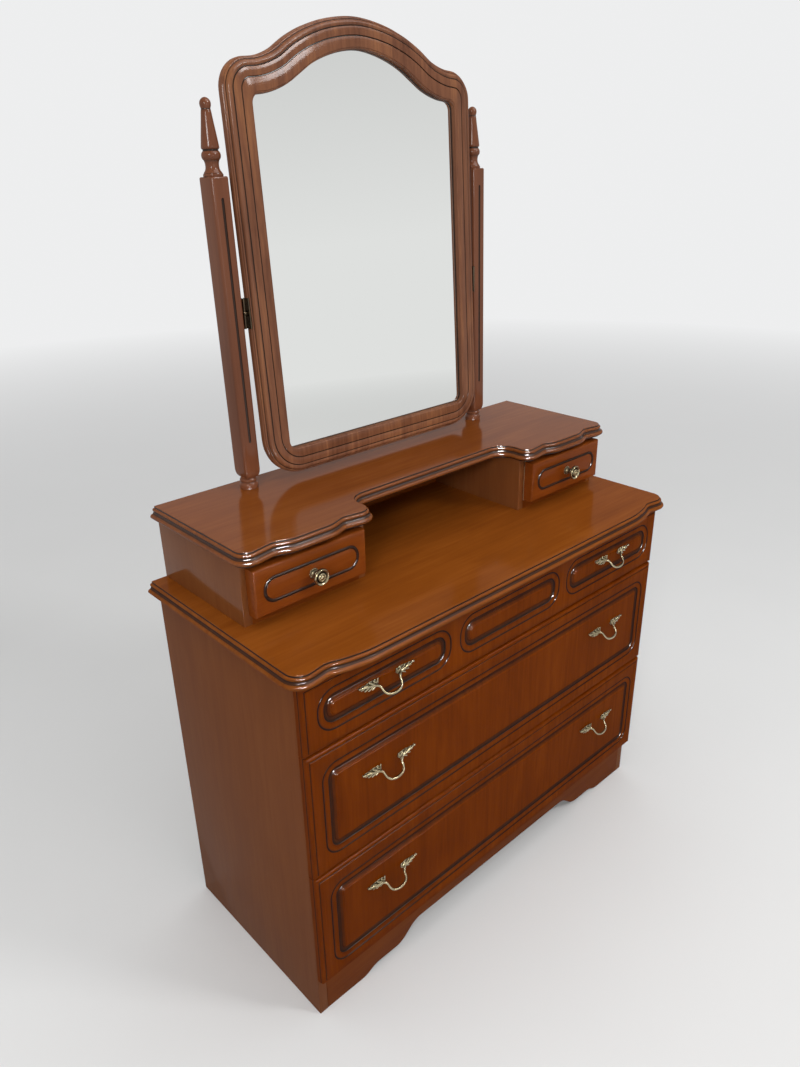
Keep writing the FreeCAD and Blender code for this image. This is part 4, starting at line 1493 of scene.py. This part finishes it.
    def cast(self, name: str, x: float, z: float) -> Object:
        """Copies the pattern to its place on a drawer front.

        Args:
            name: Name of the handle.
            x: Middle of the handle.
            z: Height of its leaf tips.

        Returns:
            The handle, with its own mesh.
        """
        if self.pattern is None:
            self.pattern = self._make_pattern()
        made = own_copy(self.pattern, name)
        made.data.transform(TO_FRAME @ Matrix.Translation((x, 0, z)) @ standing(FRONTS_Y))
        bpy.ops.object.shade_smooth()
        return made

    def put_away(self) -> None:
        """Removes the pattern once every handle is cast."""
        bpy.data.objects.remove(self.pattern)
        self.pattern = None


# ---------------------------------------------------------------- gallery
@dataclass
class Gallery:
    """The drawer boxes on the main top."""

    workshop: Workshop
    half: float = 447.0
    inner: float = 203.0
    side: float = 15.0
    side_easing: float = 1.0
    depth: float = 245.0
    base: float = 722.0
    top: float = 830.0
    back: float = 12.0
    front_width: float = 220.0
    front_height: float = 81.0
    front_lift: float = 19.0
    front_thick: float = 22.0
    front_centre: float = 327.5
    front_round: float = 5.0
    groove_end: float = 19.0            # from the front's end to the middle of its groove
    groove_edge: float = 21.0           # from its long edge to the middle of its groove
    groove_half: float = 3.8
    groove_roundness: float = 0.97
    face_y: float = -267.5

    def build(self) -> None:
        """Builds the boxes' boards and the two small drawers."""
        for stem, x0, x1, y1 in (
                ("gallery_side_outer", self.half - self.side, self.half, 0.0),
                ("gallery_side_inner", self.inner, self.inner + self.side, -self.back)):
            board = Workpiece(stem + "_right_board").block(
                (x0, -self.depth, self.base), (x1, y1, self.top), self.side_easing)
            right = board.leave_bench(Matrix.Identity(4))
            left = other_side(right, stem + "_left_board")
            for label, piece in (("_right", right), ("_left", left)):
                self.workshop.fit(piece, "root", Finish.GALLERY_SIDE, "case_wood", stem + label)
        self.workshop.keep(Finish.RAIL, "gallery_back", "gallery_base_left",
                           "gallery_base_right")
        front = self._front()
        knob = self._knob()
        mirrored_pair = (other_side(front, "small_front_left"),
                         other_side(knob, "knob_left_turned"))
        for side, (board, turned) in (("right", (front, knob)), ("left", mirrored_pair)):
            body = "small_drawer_" + side
            self.workshop.fit(board, body, Finish.SMALL_FRONT, "front_wood", body + "_front")
            self.workshop.fit(turned, body, Finish.BRASS, "antique_brass", "knob_" + side)
            self.workshop.keep(Finish.TRAY, body + "_sides", body + "_back", body + "_bottom")

    def _front(self) -> Object:
        """Right small drawer front with rounded edges and one long groove.

        Returns:
            The front.
        """
        low = self.base + self.front_lift
        high = low + self.front_height
        x0 = self.front_centre - self.front_width / 2
        x1 = x0 + self.front_width
        inset = self.front_round
        face = (x0 + inset, low + inset, x1 - inset, high - inset)
        piece = Workpiece("small_front_right").outline(rectangle(*face), filled=False)
        end = self.groove_end - self.groove_half
        edge = self.groove_edge - self.groove_half
        middle = self.front_height / 2 - self.groove_edge
        radius = self.groove_roundness * middle + self.groove_half
        piece.outline(rectangle(x0 + end, low + edge, x1 - end, high - edge, radius),
                      flats=14, filled=False)
        piece.fill_between()
        piece.choose(on_rim(*face))
        stations = arc((-inset, 0.0), (0.0, -inset), inset * (1 - math.sqrt(0.5)), 6)
        # The back of the rounded edge takes 0.3 to 0.4: painted shade in the gap round the front.
        stations += [(0.0, 0.6 - self.front_thick, 0.3), (-0.6, -self.front_thick, 0.4)]
        piece.run(stations).cap()
        margin = 9.0
        piece.choose(inside(x0 + margin, low + margin, x1 - margin, high - margin))
        stations = [(self.groove_half, 0.0, 0.0), (3.2, -0.2, 0.25)]
        stations += arc((2.8, -0.6), (-2.8, -0.6), -2.3, 9, (0.85, 1.0, 0.75))
        stations += [(-3.2, -0.2, 0.2), (-3.9, 0.0, 0.0)]
        piece.run(stations).cap()
        return piece.leave_bench(standing(self.face_y))

    def _knob(self) -> Object:
        """Right knob: beaded plate, stem, dished rim and raised, beaded middle.

        Returns:
            The knob.
        """
        # The stem under the head takes 0.6 to 0.8, patina with painted shade; the base's 0.4 is
        # painted shade where the knob sits on the front.
        piece = Workpiece("knob_right_turned").turn([
            (1.0, 25.0, 0.0), (2.6, 24.5, 0.0), (3.6, 23.5, 0.5), (4.6, 23.7, 0.1),
            (5.8, 23.9, 0.0), (6.8, 23.3, 0.4), (7.6, 21.4, 1.0), (9.0, 20.8, 1.0),
            (10.2, 21.6, 0.7), (11.2, 23.0, 0.1), (12.6, 23.5, 0.0), (13.8, 22.6, 0.0),
            (14.0, 20.6, 0.1), (14.2, 18.8, 0.3), (12.4, 17.0, 0.5), (8.6, 15.0, 0.7),
            (5.6, 12.4, 0.8), (5.0, 8.0, 0.7), (5.4, 5.4, 0.6), (6.6, 4.4, 0.3),
            (7.0, 3.4, 0.2), (6.4, 2.4, 0.9), (7.4, 2.2, 0.6), (8.5, 1.4, 0.1),
            (8.5, 0.0, 0.4)], 44)
        piece.beads(20, 1.05, 7.9, 1.7)
        piece.beads(14, 1.0, 5.2, 23.8)
        height = self.base + self.front_lift + self.front_height / 2
        shift = Matrix.Translation((self.front_centre, 0, height))
        return piece.leave_bench(shift @ standing(self.face_y), smooth_deg=50.0)


# ---------------------------------------------------------------- posts
@dataclass
class Posts:
    """The raked posts, their feet and finials, and the pivot plates."""

    workshop: Workshop
    offset: float = 288.5
    seat_y: float = -40.0
    seat_z: float = 854.0
    rake_deg: float = 1.5
    width: float = 31.0
    depth: float = 38.0
    corner: float = 5.0
    top_easing: float = 2.4
    foot: float = 18.0
    square: float = 481.0
    groove_start: float = 66.0
    groove_width: float = 5.0
    groove_depth: float = 2.5
    groove_stop: float = 30.0
    groove_glaze: float = 0.9

    def _place(self) -> Matrix:
        """Place of the right post on the gallery top."""
        return (Matrix.Translation((self.offset, self.seat_y, self.seat_z))
                @ Matrix.Rotation(math.radians(-self.rake_deg), 4, "X"))

    def build(self) -> None:
        """Builds both posts and finials."""
        for stem, right in (("post", self._post()), ("finial", self._finial())):
            left = other_side(right, stem + "_left_turned")
            self.workshop.fit(right, "root", Finish.POST, "case_wood", stem + "_right")
            self.workshop.fit(left, "root", Finish.POST, "case_wood", stem + "_left")
        self.workshop.keep(Finish.PIVOT, "post_plate_left", "post_plate_right")

    def _post(self) -> Object:
        """Right post, square with a stopped flute, tapering into its turned foot.

        Returns:
            The post.
        """
        foot, top = self.foot, self.foot + self.square
        x, y = self.width / 2, self.depth / 2
        piece = Workpiece("post_right_turned").outline(
            rectangle(-x, -y, x, y, self.corner), level=top, flats=6)
        piece.run([(0.0, 0.0, 0.0), (0.0, 16.0 - self.square, 0.0),
                   (-0.6, 11.0 - self.square, 0.0), (-2.2, 6.5 - self.square, 0.0),
                   (-4.6, 3.0 - self.square, 0.1)]).cap()
        piece.choose(lambda p: p.z > top - SKIN, boundary=False)
        piece.ease(self.top_easing, 4)
        self._cut_flute(piece.leave_bench(self._place()))
        piece.return_to_bench(self._place())
        # The foot's last station takes 0.6: painted shade where the foot stands on the gallery
        # top.
        piece.turn([(13.4, foot + 5.0, 0.1), (13.2, foot + 1.0, 0.5), (14.4, foot - 0.4, 0.3),
                    (15.2, foot - 2.4, 0.0), (14.6, foot - 4.6, 0.2), (13.4, foot - 5.6, 0.6),
                    (13.6, foot - 6.6, 0.5), (15.0, foot - 8.0, 0.1), (16.0, foot - 10.4, 0.0),
                    (15.9, 3.0, 0.0), (15.2, -1.0, 0.6)])
        made = piece.leave_bench(self._place())
        cut_below(made, self.seat_z * MM)
        bpy.ops.object.shade_smooth_by_angle(angle=math.radians(32.0))
        return made

    def _cut_flute(self, post: Object) -> None:
        """Cuts the stopped flute into the post's front face.

        Args:
            post: The post without its foot, in its place.
        """
        half = self.groove_width / 2
        high = self.foot + self.square - self.groove_stop
        low = self.foot + self.groove_start
        cutter = Workpiece("flute").turn([
            (0.30 * half, high, 0.0), (0.80 * half, high - 0.4 * half, 0.0),
            (half, high - half, 0.0), (half, low + half, 0.0),
            (0.80 * half, low + 0.4 * half, 0.0), (0.30 * half, low, 0.0)], 24)
        shift = Matrix.Translation((0, half - self.depth / 2 - self.groove_depth, 0))
        flute = cutter.leave_bench(self._place() @ shift)
        work(post, "BOOLEAN", operation="DIFFERENCE", object=flute, solver="EXACT")
        bpy.data.objects.remove(flute)
        self._mark_flute(post)

    def _mark_flute(self, post: Object) -> None:
        """Lays glaze in the flute of the post's front face.

        Args:
            post: The post, in its place.
        """
        back = (TO_FRAME @ self._place()).inverted()
        half, face = self.groove_width / 2 - 0.05, 0.1 - self.depth / 2
        above_foot = self.foot + 20.0
        glaze_and_shade = post.data.attributes[GLAZE_AND_SHADE].data
        for vertex in post.data.vertices:
            local = back @ vertex.co
            if abs(local.x) < half and face < local.y < 0 and local.z > above_foot:
                glaze_and_shade[vertex.index].value = self.groove_glaze

    def _finial(self) -> Object:
        """Right finial: flared base, waist, torus, tapering vase and ball.

        Returns:
            The finial.
        """
        # The last station's 0.9 is painted shade where the finial sits on the post; the other
        # marks are glaze in its grooves.
        piece = Workpiece("finial_right_turned").turn([
            (0.8, 107.0, 0.0), (3.2, 106.4, 0.0), (5.8, 104.6, 0.0), (7.8, 101.8, 0.0),
            (8.5, 98.6, 0.0), (8.2, 95.6, 0.0), (7.3, 92.8, 0.2), (6.9, 91.4, 0.9),
            (7.3, 90.4, 0.6), (7.9, 86.5, 0.0), (9.0, 77.0, 0.0), (10.6, 65.0, 0.0),
            (12.3, 52.0, 0.0), (13.6, 41.5, 0.0), (13.7, 39.6, 0.0), (13.1, 38.2, 0.2),
            (11.7, 37.2, 0.95), (11.7, 35.4, 0.95), (12.8, 34.4, 0.2), (14.1, 32.2, 0.0),
            (14.7, 29.2, 0.0), (14.3, 26.2, 0.0), (13.0, 23.8, 0.1), (11.8, 22.6, 0.6),
            (11.0, 20.4, 0.4), (10.4, 17.4, 0.1), (10.3, 14.0, 0.0), (10.7, 11.0, 0.0),
            (11.8, 8.2, 0.0), (13.3, 6.2, 0.0), (13.9, 5.2, 0.3), (14.0, 4.4, 0.8),
            (14.8, 4.0, 0.3), (15.3, 2.6, 0.0), (15.2, 0.8, 0.1), (14.9, 0.0, 0.9)], 48)
        raised = Matrix.Translation((0, 0, self.foot + self.square))
        return piece.leave_bench(self._place() @ raised, smooth_deg=42.0)


# ---------------------------------------------------------------- mirror
@dataclass
class Mirror:
    """The arched mirror frame with its glass and backing."""

    workshop: Workshop
    pivot_y: float = -48.0
    pivot_z: float = 1150.0
    lean_deg: float = 3.2
    setback: float = 6.0
    half: float = 264.5
    thick: float = 22.0
    bottom: float = 284.0
    shoulder: float = 361.0
    corner: float = 72.0
    shoulder_radius: float = 46.0
    hollow: Corner = (185.0, 7.7, 105.0)        # x, height over the shoulder, radius
    haunch: Corner = (129.0, 44.0, 215.0)
    crown: Corner = (45.9, 72.1, 268.0)
    member: float = 47.0
    member_bottom: float = 48.0
    sight_corner: float = 13.0
    sight_drop: float = 47.5                    # of its upper corner, below the shoulder
    sight_shoulder_radius: float = 14.0
    sight_hollow: Corner = (165.7, -42.0, 138.0)
    sight_crown: Corner = (59.5, 23.6, 203.0)

    def _over_shoulder(self, *corners: Corner) -> list[Corner]:
        """Corners that are given by their height over the shoulder."""
        return [(x, self.shoulder + rise, radius) for x, rise, radius in corners]

    def _outer(self) -> list[Corner]:
        """Outer edge of the frame."""
        return mirrored([(self.half, -self.bottom, self.corner)] + self._over_shoulder(
            (self.half, 0.8, self.shoulder_radius), self.hollow, self.haunch, self.crown))

    def _sight(self) -> list[Corner]:
        """Edge of the visible glass."""
        side = self.half - self.member
        low = (side, self.member_bottom - self.bottom, self.sight_corner)
        return mirrored([low] + self._over_shoulder(
            (side, -self.sight_drop, self.sight_shoulder_radius), self.sight_hollow,
            self.sight_crown))

    @staticmethod
    def outer_stations() -> list[Station]:
        """From the field out over the torus and the bead to the back.

        Returns:
            The stations.
        """
        stations = [(-29.9, 20.0, 0.0), (-29.5, 19.8, 0.45), (-29.1, 18.7, 1.0),
                    (-28.1, 18.5, 1.0), (-27.7, 19.5, 0.7), (-27.3, 20.0, 0.1)]
        stations += arc((-26.9, 20.0), (-15.4, 19.2), 0.55, 6, (0.0, 0.0, 0.1))
        stations += [(-15.0, 18.6, 0.9), (-14.6, 17.9, 1.0), (-13.7, 17.8, 1.0)]
        stations += arc((-13.4, 18.2), (-5.4, 13.6), 2.6, 9, (0.3, 0.0, 0.3))
        stations += [(-5.2, 12.9, 0.95), (-4.6, 12.6, 0.95)]
        stations += arc((-4.3, 12.9), (-2.0, 11.0), 0.8, 5, (0.2, 0.0, 0.3))
        stations += [(-1.9, 10.4, 0.85)]
        stations += arc((-1.7, 10.2), (0.0, 7.6), 0.5, 4, (0.2, 0.0, 0.0))
        # The outer edge and back take 0.2 to 0.5: painted shade on the frame's side and back.
        stations += [(0.0, 0.8, 0.2), (-0.8, 0.0, 0.5), (-12.0, 0.0, 0.3)]
        return stations

    @staticmethod
    def sight_stations() -> list[Station]:
        """From the field in over the rounded lip and through the rabbet.

        Returns:
            The stations.
        """
        stations = [(4.4, 20.0, 0.0)]
        stations += arc((4.0, 20.0), (1.6, 18.7), 0.45, 4)
        stations += arc((1.4, 18.3), (0.2, 12.6), 0.5, 5, (0.15, 0.1, 0.5))
        # The rabbet's walls take 0.3 to 0.9: painted shade beside and behind the glass.
        stations += [(0.0, 11.6, 0.8), (0.0, 10.4, 0.9), (8.0, 10.2, 0.6), (8.0, 0.0, 0.3)]
        return stations

    def _place(self) -> Matrix:
        """Leans a piece that lies face up and sets it on the pivots.

        Returns:
            The place.
        """
        shift = Matrix.Translation((0, 0, self.setback - self.thick / 2))
        lean = Matrix.Rotation(math.radians(-self.lean_deg), 4, "X")
        pivot = Matrix.Translation((0, self.pivot_y, self.pivot_z))
        return pivot @ lean @ Matrix.Rotation(math.radians(90), 4, "X") @ shift

    def build(self) -> None:
        """Builds the frame, and dresses the glass, the backing and the plates."""
        piece = Workpiece("mirror_frame_moulded")
        members = ((1.0, self._outer(), self.outer_stations()),
                   (2.0, self._sight(), self.sight_stations()))
        for number, corners, stations in members:
            piece.outline(corners, flats=12, filled=False)
            self._offset_loop(piece, stations[0], number)
        piece.fill_between()
        for number, _, stations in members:
            piece.choose_ring(number)
            piece.run(stations)
        near_back = 0.05
        piece.choose(lambda p: p.z < near_back)
        bpy.ops.mesh.fill(use_beauty=True)
        made = piece.leave_bench(self._place(), smooth_deg=30.0)
        self.workshop.fit(made, "mirror", Finish.FRAME, "case_wood", "mirror_frame")
        self.workshop.keep(Finish.GLASS, "mirror_glass")
        self.workshop.keep(Finish.BACK, "mirror_backing")
        self.workshop.keep(Finish.PIVOT, "frame_plate_left", "frame_plate_right")

    @staticmethod
    def _offset_loop(piece: Workpiece, station: Station, number: float) -> None:
        """Moves the selected loop to a station and drops what it came from.

        Args:
            piece: The frame on the bench.
            station: Where the loop goes.
            number: Number that its points get.
        """
        piece.run([(0.0, 0.0, 0.0), station])
        piece.mark(RING, number)
        piece.select("VERT")
        for vertex in piece.mesh().verts:
            vertex.select_set(abs(vertex.co.z - station[1]) > SKIN)
        piece.update()
        bpy.ops.mesh.delete(type="VERT")
        bpy.ops.mesh.select_all(action="SELECT")
        bpy.ops.mesh.delete(type="ONLY_FACE")
        bpy.ops.mesh.select_mode(type="EDGE")


# ---------------------------------------------------------------- studio
@dataclass(frozen=True)
class Lamp:
    """A soft light: where it hangs, what it points at, its size and its watts."""

    name: str
    place: Triple
    aim: Triple
    size: tuple[float, float]
    power: float

    def hang(self) -> Object:
        """Hangs the light.

        Returns:
            The light.
        """
        lamp = bpy.data.lights.new(self.name, "AREA")
        lamp.shape = "RECTANGLE"
        lamp.size, lamp.size_y = self.size
        lamp.energy = self.power
        holder = bpy.data.objects.new(self.name, lamp)
        bpy.context.scene.collection.objects.link(holder)
        holder.location = self.place
        away = Vector(self.place) - Vector(self.aim)
        holder.rotation_euler = away.to_track_quat("Z", "Y").to_euler()
        return holder


@dataclass
class Studio:
    """Plain pale floor and backdrop, soft lights and the camera."""

    workshop: Workshop
    white: Colour = (0.99, 0.995, 1.0)
    black: Colour = (0.0, 0.0, 0.0)
    floor_tones: tuple[Colour, Colour] = ((0.74, 0.74, 0.735), (0.77, 0.77, 0.765))
    floor_bounce: Colour = (0.34, 0.34, 0.34)
    floor_end: float = 1.6              # where the floor starts to turn into the backdrop
    backdrop_start: float = 6.5
    backdrop: float = 0.86
    backdrop_bounce: float = 0.40
    room: float = 0.36
    sky_fall: float = 0.50              # how much darker a reflection is towards the zenith
    sky_top: float = 0.7
    eye: Triple = (-1.0047, -0.9946, 1.3713)
    yaw: float = 0.7410
    pitch: float = -0.4269
    roll: float = -0.0204
    focal_px: float = 822.12
    height_px: float = 1067.0
    film: float = 36.0

    def build(self) -> None:
        """Sets up the stage, the lights and the camera."""
        self._floor()
        self._world()
        overhead = Lamp("overhead", (0.0, -0.4, 4.4), (0.0, -0.4, 0.0), (5.0, 5.0), 100.0)
        overhead.hang().visible_glossy = False
        self._lamps()
        self._gleams()
        self._camera()
        bpy.context.scene.view_settings.view_transform = "Standard"

    def _lamps(self) -> None:
        """Hangs the lamps that light all but the glass, where they would show."""
        beside_glass = bpy.data.collections.new("all_but_the_glass")
        beside_glass.objects.link(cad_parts["mirror_glass"])
        beside_glass.collection_objects[0].light_linking.link_state = "EXCLUDE"
        for lamp in (
                Lamp("key", (1.7, -3.2, 3.5), (0.0, 0.0, 0.6), (0.8, 0.8), 52.0),
                Lamp("left", (-3.0, -2.1, 2.4), (0.0, 0.0, 0.8), (0.8, 0.8), 55.0),
                Lamp("low_front", (-0.5, -3.2, 1.5), (0.0, 0.0, 0.7), (1.3, 1.3), 8.0)):
            lamp.hang().light_linking.receiver_collection = beside_glass

    def _gleams(self) -> None:
        """Hangs the windows and the sky that only gleam, on polished pieces alone."""
        fronts = (Finish.FRONT,)
        boards = (Finish.TOP, Finish.GALLERY, Finish.GALLERY_SIDE, Finish.SMALL_FRONT,
                  Finish.SIDE, Finish.RAIL)
        window = ((-1.9, -3.35, 3.4), (0.0, 0.0, 0.9), (3.6, 0.6))
        low_window = ((-2.0, -3.4, 1.5), (0.0, 0.0, 1.1), (0.8, 1.6))
        sky = ((1.3, -1.7, 4.2), (0.0, -0.2, 0.6), (3.4, 3.0))
        for lamp, finishes in (
                (Lamp("window", *window, 2600.0), boards),
                (Lamp("window_on_fronts", *window, 6000.0), fronts),
                (Lamp("low_window", *low_window, 260.0), boards),
                (Lamp("low_window_on_fronts", *low_window, 650.0), fronts),
                (Lamp("sky", *sky, 130.0), boards + (Finish.FRAME, Finish.POST)),
                (Lamp("sky_on_fronts", *sky, 325.0), fronts)):
            receivers = bpy.data.collections.new(lamp.name + "_gleam")
            for finish in finishes:
                for piece in self.workshop.polished[finish]:
                    receivers.objects.link(piece)
            gleam = lamp.hang()
            gleam.visible_diffuse = False
            gleam.light_linking.receiver_collection = receivers

    def _floor(self) -> None:
        """Lays a wide floor that turns into the backdrop behind the dresser."""
        bpy.ops.object.select_all(action="DESELECT")
        bpy.ops.mesh.primitive_plane_add(size=30.0, location=(0, 0, 0))
        floor = bpy.context.object
        floor.name = "floor"
        made, sheet, shader = new_material("pale_floor")
        place = sheet.on_object()
        far = sheet.add("ShaderNodeVectorMath", operation="LENGTH")
        sheet.feed(far.inputs[0], place)
        away = sheet.ramp(far.outputs["Value"], self.floor_end, self.backdrop_start)
        diffuse = sheet.add("ShaderNodeLightPath").outputs["Is Diffuse Ray"]
        cloud = sheet.mix(sheet.noise(place, 2.0, 2.0), *self.floor_tones)
        cloud = sheet.mix(diffuse, cloud, self.floor_bounce)
        loss = sheet.times(diffuse, self.backdrop - self.backdrop_bounce)
        sheet.set(shader, "Base Color", sheet.mix(away, cloud, self.black))
        sheet.set(shader, "Roughness", 0.8)
        sheet.set(shader, "Specular IOR Level", 0.0)
        sheet.set(shader, "Emission Color", sheet.mix(away, self.black, self.white))
        sheet.set(shader, "Emission Strength", sheet.minus(self.backdrop, loss))
        floor.data.materials.append(made)

    def _world(self) -> None:
        """Lights the room evenly and shows a pale backdrop to the eye and to gloss."""
        world = bpy.data.worlds.new("room")
        bpy.context.scene.world = world
        world.use_nodes = True
        sheet = Sheet(world.node_tree)
        rays = sheet.add("ShaderNodeLightPath").outputs
        look = sheet.add("ShaderNodeSeparateXYZ",
                         Vector=sheet.add("ShaderNodeTexCoord").outputs["Generated"])
        rise = sheet.ramp(look.outputs["Z"], 0.0, self.sky_top)
        shiny = sheet.minus(self.backdrop, sheet.times(rise, self.sky_fall))
        strength = sheet.math("MAXIMUM", sheet.times(rays["Is Camera Ray"], self.backdrop),
                              sheet.times(rays["Is Glossy Ray"], shiny))
        back = world.node_tree.nodes["Background"]
        sheet.set(back, "Color", self.white)
        sheet.set(back, "Strength", sheet.math("MAXIMUM", strength, self.room))

    def _camera(self) -> None:
        """Puts the camera where the whole dresser is seen from its left."""
        level = math.cos(self.pitch)
        forward = Vector((math.sin(self.yaw) * level, math.cos(self.yaw) * level,
                          math.sin(self.pitch)))
        right = Vector((math.cos(self.yaw), -math.sin(self.yaw), 0.0))
        up = right.cross(forward)
        turned = right * math.cos(self.roll) + up * math.sin(self.roll)
        upward = up * math.cos(self.roll) - right * math.sin(self.roll)
        data = bpy.data.cameras.new("camera")
        data.sensor_width = self.film
        data.lens = self.film * self.focal_px / self.height_px
        data.clip_start = 0.05
        data.clip_end = 100.0
        camera = bpy.data.objects.new("camera", data)
        bpy.context.scene.collection.objects.link(camera)
        turn = Matrix((turned, upward, -forward)).transposed()
        camera.matrix_world = Matrix.Translation(self.eye) @ turn.to_4x4()
        bpy.context.scene.camera = camera


def main() -> None:
    """Builds every sub-assembly."""
    logging.basicConfig(level=logging.INFO, format="%(name)s: %(message)s")
    workshop = Workshop()
    for part in (MouldedTops, Carcass, LargeDrawers, Gallery, Posts, Mirror, Studio):
        part(workshop).build()
    log.info("%d pieces fitted", workshop.fitted)


if __name__ == "__main__":
    main()
